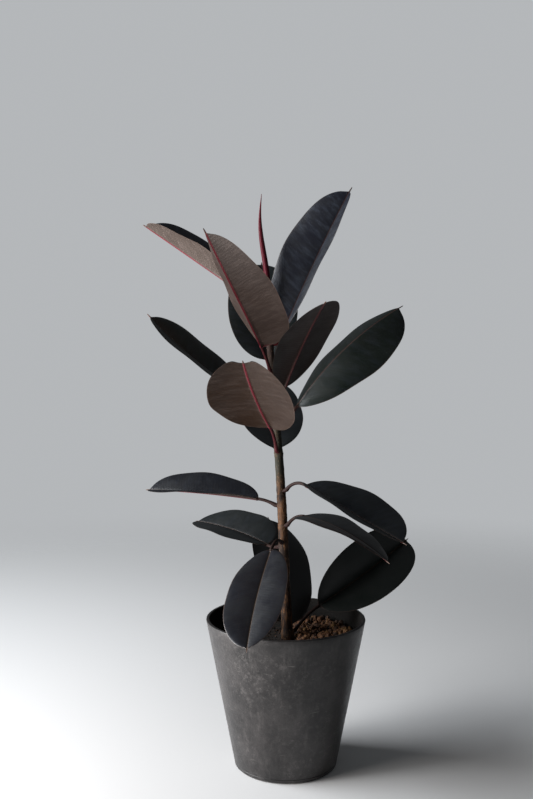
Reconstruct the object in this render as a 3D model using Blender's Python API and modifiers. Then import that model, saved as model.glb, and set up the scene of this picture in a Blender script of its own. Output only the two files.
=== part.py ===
"""A young rubber plant in a tapered stone-grey pot.

The pot stands on z = 0 with its axis on the world's Z axis. The pot, the soil, the granules on
the soil, the stem, the leaf-bud sheath at the stem's tip and each leaf are objects of their own.
Each leaf is one body: its petiole, midrib and blade grew together. All lengths are in metres and
all angles in degrees.
"""

from dataclasses import dataclass, replace
from math import atan2, cos, degrees, exp, hypot, pi, radians, sin

import bmesh
import bpy
import numpy as np
from mathutils import Vector

# Pot
POT_HEIGHT = 0.203
POT_TOP_RADIUS = 0.110
POT_BASE_RADIUS = 0.070
POT_WALL = 0.0048
POT_FLOOR = 0.007
RIM_CHAMFER = 0.0012
FOOT_CHAMFER = 0.0022
POT_STEPS = 40

# Soil and the granules that lie on it
SOIL_DEPTH_BELOW_RIM = 0.031
SOIL_CROWN = 0.002
SOIL_CROWN_SHARE = 0.45
HEAP_NEAR_HEIGHT = 0.003
HEAP_FAR_HEIGHT = 0.014
HEAP_WALL_GAP = 0.0008
HEAP_STEM_GAP = 0.0060
HEAP_SIDES = 48

# Stem: height above the soil and sideways lean of its centre line
STEM_ROUTE = (
    (0.000, 0.003), (0.068, 0.000), (0.128, -0.003), (0.188, -0.006), (0.248, -0.009),
    (0.303, -0.013), (0.378, -0.020), (0.428, -0.023), (0.468, -0.024),
)
STEM_BURIED = 0.030
STEM_BASE_RADIUS = 0.0078
STEM_TIP_RADIUS = 0.0042
STEM_SEGMENTS = 18

# Sheath: rise above the stem's tip, lean from it, and radius as a share of its root's
SHEATH_ROUTE = (
    (0.000, 0.0000, 1.00), (0.030, -0.0020, 1.08), (0.055, -0.0048, 1.00),
    (0.075, -0.0078, 0.97), (0.095, -0.0112, 0.78), (0.118, -0.0108, 0.42),
    (0.1425, -0.0092, 0.11),
)
SHEATH_STEP = 0.0006

# What every leaf has in common
BLADE_THICKNESS = 0.0012
BLADE_ARCH = 0.05
BLADE_FULLNESS = 2.15
BLADE_ROUNDNESS = 0.52
TIP_SHARE = 0.04
LOBE_START = 0.55
LOBE_RUN = 0.40
LOBE_HALF_WIDTH = 0.009
PETIOLE_RADIUS = 0.0023
PETIOLE_CLEARANCE = 0.15
MIDRIB_END_RADIUS = 0.0008
MIDRIB_DROP = 0.0004
MIDRIB_REACH = 0.72
BLADE_ROOT_HALF_WIDTH = 0.0013
TIP_HALF_WIDTH = 0.0012
BLADE_ROWS = 12
BLADE_COLUMNS = 4
PETIOLE_SEGMENTS = 6
ROUND_SIDES = 2

# The lowest leaf's blade starts this far inside the pot's rim and above it
LOW_BLADE_INSET = 0.0576
LOW_BLADE_LIFT = 0.0082

# Touching pieces stay this far apart
SEAT_GAP = 0.0003


@dataclass(frozen=True)
class Leaf:
    """Where a leaf leaves the stem, the way it points and bends, and its size.

    The node's height is above the soil. The azimuth is 0 to the right, 90 to the back and 270
    to the front. The three rises are the slope where the petiole starts, where the blade starts
    and at the tip. The swing turns the blade sideways along its length, the roll and the twist
    turn it about its midrib, and the fold raises both halves towards each other. A skew over 1
    moves the widest place towards the tip. A notch draws both halves out past the midrib's end.
    """

    node_height: float
    azimuth: float
    petiole: float
    rise_start: float
    rise_blade: float
    rise_tip: float
    length: float
    width: float
    roll: float
    twist: float
    fold: float
    swing: float
    skew: float
    notch: float = 0.0


# The lowest leaf hangs out over the rim. over_rim() finds its petiole and first rise.
LOW_LEAF = Leaf(0.008, 32, 0.0, 0.0, 23, 22, 0.195, 0.103, -59, 9, 31, 13, 1.01)

# The other leaves, from the soil up
LEAVES = (
    Leaf(0.010, 97, 0.022, 0, 46, 30, 0.202, 0.105, -34, 12, 12, 6, 1.00),
    Leaf(0.128, 123, 0.040, -22, 7, -2, 0.189, 0.089, 12, 2, 17, 11, 0.95),
    Leaf(0.135, 254, 0.060, 34, -32, -29, 0.175, 0.078, -8, -1, 7, 12, 1.04),
    Leaf(0.158, 306, 0.052, 50, 2, -29, 0.160, 0.076, -3, 24, 5, 10, 0.75),
    Leaf(0.185, 160, 0.035, 28, 4, -2, 0.179, 0.085, 6, 14, 21, -3, 1.11),
    Leaf(0.206, 315, 0.049, 54, -19, -18, 0.176, 0.088, 1, -10, 24, 1, 0.95),
    Leaf(0.256, 98, 0.026, 6, 23, 42, 0.190, 0.101, -2, -3, 15, 3, 1.05),
    Leaf(0.259, 255, 0.056, 69, 28, 28, 0.188, 0.111, 6, -7, -19, 10, 1.21, 0.018),
    Leaf(0.298, 12, 0.037, 41, 56, 29, 0.210, 0.119, -24, -1, -23, 2, 1.28),
    Leaf(0.316, 176, 0.032, 24, 31, 48, 0.191, 0.095, 8, 10, 14, 0, 0.96),
    Leaf(0.325, 295, 0.041, 37, 49, 16, 0.195, 0.078, -8, -16, 2, -15, 1.07),
    Leaf(0.368, 254, 0.059, 49, 32, 53, 0.201, 0.105, 20, -5, 27, -21, 0.79),
    Leaf(0.377, 102, 0.028, -8, 56, 47, 0.190, 0.103, 17, -24, 13, -12, 0.97),
    Leaf(0.406, 6, 0.033, 53, 67, 62, 0.212, 0.101, -36, -2, 32, 1, 0.93),
    Leaf(0.443, 170, 0.051, 66, 34, 34, 0.173, 0.096, -6, 18, 31, -3, 1.17),
)


# ---------------------------------------------------------------- scene, collections, materials

def clear_scene():
    for obj in list(bpy.data.objects):
        bpy.data.objects.remove(obj)


def new_collection(name):
    collection = bpy.data.collections.new(name)
    bpy.context.scene.collection.children.link(collection)
    return collection


def material(name, colour, roughness):
    finish = bpy.data.materials.new(name)
    finish.use_nodes = True
    shader = finish.node_tree.nodes["Principled BSDF"]
    shader.inputs["Base Color"].default_value = (*colour, 1.0)
    shader.inputs["Roughness"].default_value = roughness
    shader.inputs["Metallic"].default_value = 0.0
    return finish


def place(name, mesh, collection, finish):
    """A new object that holds the mesh, in the collection, with its material."""
    obj = bpy.data.objects.new(name, mesh)
    collection.objects.link(obj)
    mesh.materials.clear()
    mesh.materials.append(finish)
    return obj


def make_cutter(obj, cutters):
    """Keeps an object out of the model and puts it with the cutters."""
    for collection in list(obj.users_collection):
        collection.objects.unlink(obj)
    cutters.objects.link(obj)
    obj.hide_render = True
    obj.display_type = "WIRE"


def add_boolean(obj, other, operation):
    modifier = obj.modifiers.new(operation.title(), "BOOLEAN")
    modifier.operation = operation
    modifier.object = other
    modifier.solver = "EXACT"


# ------------------------------------------------------------------------------- turned shapes

def turned(name, profile, collection, finish):
    """A closed solid turned about Z from a profile of (radius, height) points."""
    mesh = bpy.data.meshes.new(name)
    work = bmesh.new()
    points = [work.verts.new((radius, 0.0, height)) for radius, height in profile]
    for first, second in zip(points, points[1:]):
        work.edges.new((first, second))
    work.to_mesh(mesh)
    work.free()
    obj = place(name, mesh, collection, finish)
    screw = obj.modifiers.new("Screw", "SCREW")
    screw.steps = POT_STEPS
    screw.render_steps = POT_STEPS
    screw.use_merge_vertices = True
    screw.merge_threshold = 0.00005
    return obj


def pot_radius(height):
    """The pot's outer radius at a height."""
    share = height / POT_HEIGHT
    return POT_BASE_RADIUS + (POT_TOP_RADIUS - POT_BASE_RADIUS) * share


def inner_radius(height):
    return pot_radius(height) - POT_WALL


def build_pot(collection, finish):
    rim = POT_HEIGHT - RIM_CHAMFER
    profile = (
        (0.0, POT_FLOOR),
        (inner_radius(POT_FLOOR), POT_FLOOR),
        (inner_radius(rim), rim),
        (inner_radius(rim) + RIM_CHAMFER, POT_HEIGHT),
        (pot_radius(rim) - RIM_CHAMFER, POT_HEIGHT),
        (pot_radius(rim), rim),
        (pot_radius(FOOT_CHAMFER), FOOT_CHAMFER),
        (POT_BASE_RADIUS - FOOT_CHAMFER, 0.0),
        (0.0, 0.0),
    )
    return turned("pot", profile, collection, finish)


def soil_level():
    return POT_HEIGHT - SOIL_DEPTH_BELOW_RIM


def build_soil(collection, finish):
    bottom = POT_FLOOR + SEAT_GAP
    profile = (
        (0.0, soil_level() + SOIL_CROWN),
        (SOIL_CROWN_SHARE * inner_radius(soil_level()), soil_level() + SOIL_CROWN),
        (inner_radius(soil_level()) - SEAT_GAP, soil_level()),
        (inner_radius(bottom) - SEAT_GAP, bottom),
        (0.0, bottom),
    )
    return turned("soil", profile, collection, finish)


# -------------------------------------------------------------------------------- round growth

def tube_mesh(name, points, radii):
    """The mesh of a round tube that runs through the points with a radius at each."""
    curve = bpy.data.curves.new(name, "CURVE")
    curve.dimensions = "3D"
    curve.bevel_depth = 1.0
    curve.bevel_resolution = ROUND_SIDES
    curve.use_fill_caps = True
    spline = curve.splines.new("POLY")
    spline.points.add(len(points) - 1)
    for control, point, radius in zip(spline.points, points, radii):
        control.co = (*point, 1.0)
        control.radius = radius
    guide = bpy.data.objects.new(name + "_guide", curve)
    bpy.context.scene.collection.objects.link(guide)
    graph = bpy.context.evaluated_depsgraph_get()
    mesh = bpy.data.meshes.new_from_object(guide.evaluated_get(graph))
    bpy.data.objects.remove(guide)
    work = bmesh.new()
    work.from_mesh(mesh)
    bmesh.ops.remove_doubles(work, verts=work.verts, dist=0.00002)
    bmesh.ops.recalc_face_normals(work, faces=work.faces)
    work.to_mesh(mesh)
    work.free()
    mesh.shade_smooth()
    return mesh


def direction(azimuth, rise):
    """The unit vector that points along an azimuth and a rise."""
    flat = cos(radians(rise))
    return Vector((
        flat * cos(radians(azimuth)),
        flat * sin(radians(azimuth)),
        sin(radians(rise)),
    ))


def stem_axis(height):
    """The point of the stem's centre line at a height above the soil."""
    heights, leans = zip(*STEM_ROUTE)
    return Vector((float(np.interp(height, heights, leans)), 0.0, soil_level() + height))


def stem_radius(height):
    """The stem's radius at a height above the soil."""
    start, end = STEM_ROUTE[0][0], STEM_ROUTE[-1][0]
    share = min(max((height - start) / (end - start), 0.0), 1.0)
    return STEM_BASE_RADIUS + (STEM_TIP_RADIUS - STEM_BASE_RADIUS) * share


def stem_tube(name, extra):
    """The stem's tube, thicker all over and longer below by the extra length."""
    heights = np.linspace(-STEM_BURIED - extra, STEM_ROUTE[-1][0], STEM_SEGMENTS + 1)
    points = [stem_axis(float(height)) for height in heights]
    radii = [stem_radius(float(height)) + extra for height in heights]
    return tube_mesh(name, points, radii)


def build_stem(collection, cutters, finish, soil):
    stem = place("stem", stem_tube("stem", 0.0), collection, finish)
    socket = place("stem_socket", stem_tube("stem_socket", SEAT_GAP), cutters, finish)
    make_cutter(socket, cutters)
    add_boolean(soil, socket, "DIFFERENCE")
    return stem


def build_sheath(collection, finish):
    top = stem_axis(STEM_ROUTE[-1][0]) + Vector((0.0, 0.0, SEAT_GAP))
    points = [top + Vector((lean, 0.0, rise)) for rise, lean, _ in SHEATH_ROUTE]
    radii = [(STEM_TIP_RADIUS - SHEATH_STEP) * share for _, _, share in SHEATH_ROUTE]
    return place("sheath", tube_mesh("sheath", points, radii), collection, finish)


def cut_flat(work, point, outward):
    """Cuts off what lies beyond a plane and closes the cut."""
    cut = bmesh.ops.bisect_plane(
        work, geom=work.verts[:] + work.edges[:] + work.faces[:],
        plane_co=point, plane_no=outward, clear_outer=True,
    )
    rim = [item for item in cut["geom_cut"] if isinstance(item, bmesh.types.BMEdge)]
    bmesh.ops.edgeloop_fill(work, edges=rim)


def build_granules(collection, finish):
    """A heap on the soil's right side that slopes up from near the stem to near the pot's wall."""
    base = soil_level() + SOIL_CROWN + SEAT_GAP
    top = base + HEAP_FAR_HEIGHT
    near = stem_axis(0.0).x + STEM_BASE_RADIUS + HEAP_STEM_GAP
    far = inner_radius(top) - HEAP_WALL_GAP
    work = bmesh.new()
    bmesh.ops.create_cone(
        work, cap_ends=True, segments=HEAP_SIDES, depth=HEAP_FAR_HEIGHT,
        radius1=inner_radius(base) - HEAP_WALL_GAP, radius2=far,
    )
    bmesh.ops.translate(work, vec=(0.0, 0.0, 0.5 * (base + top)), verts=work.verts)
    cut_flat(work, (near, 0.0, base), (-1.0, 0.0, 0.0))
    slope = Vector((HEAP_NEAR_HEIGHT - HEAP_FAR_HEIGHT, 0.0, far - near))
    cut_flat(work, (near, 0.0, base + HEAP_NEAR_HEIGHT), slope.normalized())
    bmesh.ops.recalc_face_normals(work, faces=work.faces)
    mesh = bpy.data.meshes.new("granules")
    work.to_mesh(mesh)
    work.free()
    return place("granules", mesh, collection, finish)


# -------------------------------------------------------------------------------------- leaves

def blend(start, end, share):
    return start + (end - start) * share


def petiole_start(leaf):
    """The centre of the petiole's first section, just clear of the stem's surface."""
    tilt = abs(sin(radians(leaf.rise_start)))
    outward = stem_radius(leaf.node_height) + SEAT_GAP + PETIOLE_RADIUS * (tilt + PETIOLE_CLEARANCE)
    return stem_axis(leaf.node_height) + outward * direction(leaf.azimuth, 0.0)


def over_rim(leaf):
    """The leaf with a petiole that brings its blade's start to its place over the pot's rim."""
    toward = direction(leaf.azimuth, 0.0)
    start = petiole_start(leaf)
    reach = POT_TOP_RADIUS - LOW_BLADE_INSET - start.dot(toward)
    rise = POT_HEIGHT + LOW_BLADE_LIFT - start.z
    mean = atan2(rise, reach)
    bend = mean - radians(leaf.rise_blade)
    length = hypot(reach, rise) * bend / sin(bend)
    petiole = length + stem_radius(leaf.node_height)
    return replace(leaf, petiole=petiole, rise_start=degrees(mean + bend))


def petiole_points(leaf):
    points = [petiole_start(leaf)]
    step = (leaf.petiole - stem_radius(leaf.node_height)) / PETIOLE_SEGMENTS
    for index in range(PETIOLE_SEGMENTS):
        share = (index + 0.5) / PETIOLE_SEGMENTS
        rise = blend(leaf.rise_start, leaf.rise_blade, share)
        points.append(points[-1] + step * direction(leaf.azimuth, rise))
    return points


def row_share(row):
    """How far along the blade a row lies. Rows stand closer towards both ends."""
    even = row / BLADE_ROWS
    return 0.5 * (even + 0.5 - 0.5 * cos(pi * even))


def midrib_points(leaf, start):
    """The blade's centre line, one point for each row."""
    points = [start]
    for row in range(BLADE_ROWS):
        share = 0.5 * (row_share(row) + row_share(row + 1))
        step = leaf.length * (row_share(row + 1) - row_share(row))
        rise = blend(leaf.rise_blade, leaf.rise_tip, share)
        heading = leaf.azimuth + leaf.swing * share
        points.append(points[-1] + step * direction(heading, rise))
    return points


def blade_frame(leaf, share):
    """The directions along and across the blade and out of its upper side, part way along."""
    rise = blend(leaf.rise_blade, leaf.rise_tip, share)
    heading = leaf.azimuth + leaf.swing * share
    along = direction(heading, rise)
    upward = direction(heading, rise + 90.0)
    across = along.cross(upward)
    turn = radians(leaf.roll + leaf.twist * share)
    return (
        along,
        across * cos(turn) + upward * sin(turn),
        upward * cos(turn) - across * sin(turn),
    )


def half_width(leaf, share):
    """Half the blade's width part way along it: an oval that ends short of the narrow tip."""
    body = min(share / (1.0 - TIP_SHARE), 1.0) ** leaf.skew
    outline = (1.0 - abs(2.0 * body - 1.0) ** BLADE_FULLNESS) ** BLADE_ROUNDNESS
    narrowest = blend(BLADE_ROOT_HALF_WIDTH, TIP_HALF_WIDTH, share)
    return max(0.5 * leaf.width * outline, narrowest)


def drawn_out(leaf, share, reach):
    """How far a notched leaf's surface lies towards the tip, at a distance from the midrib."""
    ease = min(max((share - LOBE_START) / LOBE_RUN, 0.0), 1.0)
    beside_rib = 1.0 - exp(-((reach / LOBE_HALF_WIDTH) ** 2))
    return leaf.notch * ease * ease * (3.0 - 2.0 * ease) * beside_rib


def build_blade(name, leaf, centres, collection, finish):
    """The blade: a grid laid along the centre line, folded about it and made solid."""
    work = bmesh.new()
    bmesh.ops.create_grid(work, x_segments=BLADE_ROWS, y_segments=BLADE_COLUMNS, size=1.0)
    fold = radians(leaf.fold)
    for vertex in work.verts:
        row = round(0.5 * (vertex.co.x + 1.0) * BLADE_ROWS)
        side = vertex.co.y
        share = row_share(row)
        half = half_width(leaf, share)
        along, across, upward = blade_frame(leaf, share)
        lift = abs(side) * sin(fold) + 4.0 * BLADE_ARCH * abs(side) * (1.0 - abs(side))
        shift = drawn_out(leaf, share, side * half)
        vertex.co = centres[row] + half * (across * side * cos(fold) + upward * lift) + along * shift
    bmesh.ops.recalc_face_normals(work, faces=work.faces)
    mesh = bpy.data.meshes.new(name)
    work.to_mesh(mesh)
    work.free()
    blade = place(name, mesh, collection, finish)
    solidify = blade.modifiers.new("Solidify", "SOLIDIFY")
    solidify.thickness = BLADE_THICKNESS
    solidify.offset = 0.0
    return blade


def build_rib(name, leaf, stalk, centres, cutters, finish):
    """The petiole and the midrib under the blade, as one tapering tube."""
    reach = round(MIDRIB_REACH * BLADE_ROWS)
    points, radii = list(stalk), [PETIOLE_RADIUS] * len(stalk)
    for row in range(1, reach + 1):
        _, _, upward = blade_frame(leaf, row_share(row))
        points.append(centres[row] - upward * MIDRIB_DROP)
        radii.append(blend(PETIOLE_RADIUS, MIDRIB_END_RADIUS, row / reach))
    rib = place(name + "_rib", tube_mesh(name + "_rib", points, radii), cutters, finish)
    make_cutter(rib, cutters)
    return rib


def build_leaf(name, leaf, collection, cutters, finish):
    stalk = petiole_points(leaf)
    centres = midrib_points(leaf, stalk[-1])
    blade = build_blade(name, leaf, centres, collection, finish)
    rib = build_rib(name, leaf, stalk, centres, cutters, finish)
    add_boolean(blade, rib, "UNION")
    return blade


def main():
    clear_scene()
    plant = new_collection("potted_rubber_plant")
    cutters = new_collection("cutters")
    build_pot(plant, material("stone_grey", (0.045, 0.046, 0.048), 0.6))
    soil = build_soil(plant, material("dark_soil", (0.018, 0.013, 0.010), 0.95))
    build_granules(plant, material("baked_clay", (0.16, 0.085, 0.035), 0.9))
    build_stem(plant, cutters, material("bark", (0.16, 0.11, 0.075), 0.75), soil)
    build_sheath(plant, material("crimson_sheath", (0.22, 0.045, 0.055), 0.45))
    green = material("leaf_green", (0.012, 0.020, 0.016), 0.3)
    for number, leaf in enumerate((over_rim(LOW_LEAF), *LEAVES), start=1):
        build_leaf(f"leaf_{number:02d}", leaf, plant, cutters, green)


main()
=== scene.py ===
"""The looks of a young rubber plant in a tapered stone-grey pot.

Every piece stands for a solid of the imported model. The pot, the soil and the heap of granules
take their sizes from the frame's boxes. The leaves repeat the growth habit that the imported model
gives them, and are modelled here as one smooth skin from petiole to tip. Lengths are in metres
and angles in degrees.
"""

from __future__ import annotations

import logging
from dataclasses import dataclass
from enum import Enum
from math import cos, pi, prod, radians, sin, tau

import bpy
import numpy as np
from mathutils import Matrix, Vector
from mathutils.bvhtree import BVHTree


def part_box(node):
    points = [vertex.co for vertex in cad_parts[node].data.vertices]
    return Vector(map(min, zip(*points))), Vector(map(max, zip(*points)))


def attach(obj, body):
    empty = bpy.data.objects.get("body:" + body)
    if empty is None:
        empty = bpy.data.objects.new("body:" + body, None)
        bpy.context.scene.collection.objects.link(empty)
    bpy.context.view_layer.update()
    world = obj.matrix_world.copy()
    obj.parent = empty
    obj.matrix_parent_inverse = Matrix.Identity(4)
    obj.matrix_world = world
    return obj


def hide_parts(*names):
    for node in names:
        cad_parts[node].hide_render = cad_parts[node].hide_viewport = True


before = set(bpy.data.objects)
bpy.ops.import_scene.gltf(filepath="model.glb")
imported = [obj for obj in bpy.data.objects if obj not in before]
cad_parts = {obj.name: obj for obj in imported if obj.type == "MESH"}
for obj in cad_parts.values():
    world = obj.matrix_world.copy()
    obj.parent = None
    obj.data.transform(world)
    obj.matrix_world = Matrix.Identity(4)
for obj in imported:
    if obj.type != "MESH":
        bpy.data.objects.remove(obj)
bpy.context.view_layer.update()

LOG = logging.getLogger("rubber_plant")
Colour = tuple[float, float, float]
Socket = bpy.types.NodeSocket

# Where a smooth step starts and ends, and what it gives there when that isn't 0 and 1.
Ramp = tuple[float, ...]

# How much of a bend of the normal is kept, and the height's range.
Relief = tuple[float, float]

# A grain's x and y, its size and its height above the soil.
Spot = tuple[float, float, float, float]


# ---------------------------------------------------------------------------- shader building


@dataclass(frozen=True)
class Clouds:
    """Cloudy noise: clouds to the metre, how many finer layers it has and how strong they are.

    The stretch multiplies the coordinates, so a small value draws the clouds out that way.
    """

    scale: float
    detail: float = 4.0
    rough: float = 0.55
    stretch: Colour = (1.0, 1.0, 1.0)


class Shader:
    """A material's node tree around one Principled BSDF, with short calls for its usual nodes."""

    def __init__(self, name: str, roughness: float, specular: float = 0.5) -> None:
        """Makes the material.

        Args:
            name: The material's name.
            roughness: The roughness, where nothing is linked to it.
            specular: The specular level, where nothing is linked to it.
        """
        self.material = bpy.data.materials.new(name)
        self.material.use_nodes = True
        self.tree = self.material.node_tree
        self.bsdf = self.tree.nodes["Principled BSDF"]
        self.bsdf.inputs["Roughness"].default_value = roughness
        self.bsdf.inputs["Specular IOR Level"].default_value = specular

    def node(self, kind: str, **settings: object) -> bpy.types.Node:
        """Adds a node and sets its properties.

        Args:
            kind: The node's type.
            settings: The properties that differ from their defaults.

        Returns:
            The node.
        """
        made = self.tree.nodes.new(kind)
        for key, value in settings.items():
            setattr(made, key, value)
        return made

    def feed(self, target: Socket, value: object) -> None:
        """Links a socket to the target, or sets the target to a plain value.

        Args:
            target: The input.
            value: A socket, a number or a colour.
        """
        if isinstance(value, bpy.types.NodeSocket):
            self.tree.links.new(value, target)
        elif isinstance(value, tuple) and target.type == "RGBA":
            target.default_value = (*value, 1.0)
        else:
            target.default_value = value

    def place(self, stretch: Colour = (1.0, 1.0, 1.0)) -> Socket:
        """Reads the point on the piece in object coordinates.

        Args:
            stretch: What x, y and z are multiplied by.

        Returns:
            The stretched point.
        """
        source = self.node("ShaderNodeTexCoord").outputs["Object"]
        mapping = self.node("ShaderNodeMapping")
        self.feed(mapping.inputs["Vector"], source)
        mapping.inputs["Scale"].default_value = stretch
        return mapping.outputs["Vector"]

    def attribute(self, name: str, output: str = "Fac") -> Socket:
        """One output of the piece's own attribute."""
        return self.node("ShaderNodeAttribute", attribute_name=name).outputs[output]

    def split(self, vector: Socket) -> list[Socket]:
        """Takes a vector apart.

        Args:
            vector: The vector.

        Returns:
            Its x, y and z.
        """
        parts = self.node("ShaderNodeSeparateXYZ")
        self.feed(parts.inputs[0], vector)
        return list(parts.outputs)

    def join(self, x: object, y: object, z: object) -> Socket:
        """Makes a vector of three values.

        Args:
            x: Its x, a socket or a number.
            y: Its y.
            z: Its z.

        Returns:
            The vector.
        """
        joined = self.node("ShaderNodeCombineXYZ")
        for target, value in zip(joined.inputs, (x, y, z)):
            self.feed(target, value)
        return joined.outputs[0]

    def noise(self, clouds: Clouds, vector: Socket | None = None) -> Socket:
        """Reads cloudy noise from 0 to 1.

        Args:
            clouds: The noise's sizes.
            vector: Where it is read, or None to read it on the piece, stretched as it says.

        Returns:
            The noise's factor.
        """
        made = self.node("ShaderNodeTexNoise")
        self.feed(made.inputs["Vector"], self.place(clouds.stretch) if vector is None else vector)
        made.inputs["Scale"].default_value = clouds.scale
        made.inputs["Detail"].default_value = clouds.detail
        made.inputs["Roughness"].default_value = clouds.rough
        return made.outputs["Fac"]

    def cells(self, scale: float, stretch: Colour = (1.0, 1.0, 1.0)) -> Socket:
        """Scatters points at random over the piece.

        Args:
            scale: Points to the metre.
            stretch: What x, y and z are multiplied by.

        Returns:
            The distance to the nearest one.
        """
        made = self.node("ShaderNodeTexVoronoi")
        self.feed(made.inputs["Vector"], self.place(stretch))
        made.inputs["Scale"].default_value = scale
        return made.outputs["Distance"]

    def sums(self, kind: str, first: object, second: object = 0.0) -> Socket:
        """Works out one sum.

        Args:
            kind: The operation.
            first: A socket or a number.
            second: A socket or a number.

        Returns:
            The result.
        """
        made = self.node("ShaderNodeMath", operation=kind)
        self.feed(made.inputs[0], first)
        self.feed(made.inputs[1], second)
        return made.outputs[0]

    def fade(
        self, value: Socket, start: float, end: float, low: float = 0.0, high: float = 1.0
    ) -> Socket:
        """Steps smoothly from low to high as the value goes from start to end.

        Args:
            value: What is read.
            start: The value that gives low.
            end: The value that gives high.
            low: The result at the start.
            high: The result at the end.

        Returns:
            The stepped value.
        """
        made = self.node("ShaderNodeMapRange", interpolation_type="SMOOTHSTEP")
        for key, given in (("Value", value), ("From Min", start), ("From Max", end)):
            self.feed(made.inputs[key], given)
        made.inputs["To Min"].default_value = low
        made.inputs["To Max"].default_value = high
        return made.outputs["Result"]

    def blend(self, factor: object, first: object, second: object, kind: str = "MIX") -> Socket:
        """Mixes two colours by a factor.

        Args:
            factor: 0 for the first colour, 1 for the second.
            first: A colour or a socket.
            second: A colour or a socket.
            kind: The blend type.

        Returns:
            The mixed colour.
        """
        made = self.node("ShaderNodeMix", data_type="RGBA", blend_type=kind)
        for index, given in ((0, factor), (6, first), (7, second)):
            self.feed(made.inputs[index], given)
        return made.outputs[2]

    def bump(self, height: Socket, relief: Relief, under: Socket | None = None) -> Socket:
        """Bends the normal by a height.

        Args:
            height: The height from 0 to 1.
            relief: How much of the bend is kept, and the height's range.
            under: A coarser bump that this one lies on.

        Returns:
            The bent normal.
        """
        made = self.node("ShaderNodeBump")
        self.feed(made.inputs["Height"], height)
        made.inputs["Strength"].default_value, made.inputs["Distance"].default_value = relief
        if under is not None:
            self.feed(made.inputs["Normal"], under)
        return made.outputs["Normal"]

    def finish(self, colour: object, **given: Socket | None) -> bpy.types.Material:
        """Links the colour and any other looks to the shader.

        Args:
            colour: The base colour.
            given: Any of roughness, normal and specular. What isn't given stays constant.

        Returns:
            The finished material.
        """
        inputs = {"roughness": "Roughness", "normal": "Normal", "specular": "Specular IOR Level"}
        self.feed(self.bsdf.inputs["Base Color"], colour)
        for key, value in given.items():
            self.feed(self.bsdf.inputs[inputs[key]], value)
        return self.material


# ------------------------------------------------------------------------------------ finishes


@dataclass(frozen=True)
class StoneFinish:
    """Cast stone with a worn satin face: mottled, wiped with pale streaks, scuffed and pitted.

    An attribute is 1 on the inner wall, where the stone is darkened with painted shade and made
    duller and less glossy.
    """

    dark: Colour = (0.012, 0.0112, 0.0115)
    middle: Colour = (0.044, 0.0405, 0.0405)
    pale: Colour = (0.150, 0.139, 0.136)
    scratch: Colour = (0.300, 0.285, 0.270)
    # Painted shade: the inner wall's dark colour, and how much of it is mixed in.
    shaded_inner_wall: Colour = (0.012, 0.011, 0.010)
    painted_shade_share: float = 0.9
    roughness: float = 0.4
    clouds: Clouds = Clouds(18.0, 9.0, 0.70)
    cloud_ramp: Ramp = (0.33, 0.66)
    cloud_relief: Relief = (0.40, 0.0018)
    streaks: Clouds = Clouds(90.0, 8.0, 0.66, (1.0, 1.0, 0.22))
    streak_ramp: Ramp = (0.50, 0.78, 0.0, 0.28)
    mottles: Clouds = Clouds(130.0, 12.0, 0.80)
    mottle_ramp: Ramp = (0.50, 0.63)
    mottle_relief: Relief = (0.45, 0.0006)
    worn_places: Clouds = Clouds(13.0)
    worn_ramp: Ramp = (0.42, 0.64, 0.10, 0.42)
    lines: Clouds = Clouds(6.0, 4.0, 0.7, (5.0, 5.0, 60.0))
    line_ramp: Ramp = (0.62, 0.68)
    line_places: Clouds = Clouds(26.0, 2.0)
    line_place_ramp: Ramp = (0.54, 0.68)
    line_share: float = 0.5
    pit_scale: float = 330.0
    pit_ramp: Ramp = (0.05, 0.22, 0.6, 0.0)
    pit_relief: Relief = (0.35, -0.0004)
    grit: Clouds = Clouds(900.0, 4.0, 0.65)
    grit_ramp: Ramp = (0.32, 0.68, 0.45, 0.0)
    grit_relief: Relief = (0.30, 0.0002)
    rough_ramp: Ramp = (0.36, 0.66, 0.28, 0.46)
    inner_wall_rough: float = 0.4
    specular: float = 0.42
    inner_wall_specular: float = 0.05

    def make(self) -> bpy.types.Material:
        """Builds the material.

        Returns:
            The stone.
        """
        shader = Shader("pot_cast_stone", self.roughness, self.specular)
        clouds = shader.noise(self.clouds)
        colour = shader.blend(shader.fade(clouds, *self.cloud_ramp), self.dark, self.middle)
        streaks = shader.noise(self.streaks)
        colour = shader.blend(shader.fade(streaks, *self.streak_ramp), colour, self.pale)
        mottles = shader.noise(self.mottles)
        places = shader.fade(shader.noise(self.worn_places), *self.worn_ramp)
        worn = shader.sums("MULTIPLY", shader.fade(mottles, *self.mottle_ramp), places)
        colour = shader.blend(worn, colour, self.pale)
        places = shader.fade(shader.noise(self.line_places), *self.line_place_ramp)
        lines = shader.fade(shader.noise(self.lines), *self.line_ramp)
        lines = shader.sums("MULTIPLY", shader.sums("MULTIPLY", lines, places), self.line_share)
        colour = shader.blend(lines, colour, self.scratch)
        pits = shader.fade(shader.cells(self.pit_scale), *self.pit_ramp)
        colour = shader.blend(pits, colour, self.dark)
        grit = shader.noise(self.grit)
        colour = shader.blend(shader.fade(grit, *self.grit_ramp), colour, self.dark)

        shaded_inner_wall = shader.attribute("shaded_inner_wall")
        # Painted shade: the whole inner wall is darkened almost to black.
        colour = shader.blend(shader.sums("MULTIPLY", shaded_inner_wall, self.painted_shade_share), colour, self.shaded_inner_wall)
        rough = shader.fade(mottles, *self.rough_ramp)
        rough = shader.sums("ADD", rough, shader.sums("MULTIPLY", shaded_inner_wall, self.inner_wall_rough))
        normal = shader.bump(clouds, self.cloud_relief)
        normal = shader.bump(mottles, self.mottle_relief, normal)
        normal = shader.bump(grit, self.grit_relief, normal)
        normal = shader.bump(pits, self.pit_relief, normal)
        specular = shader.fade(shaded_inner_wall, 0.0, 1.0, self.specular, self.inner_wall_specular)
        return shader.finish(colour, roughness=rough, normal=normal, specular=specular)


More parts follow.
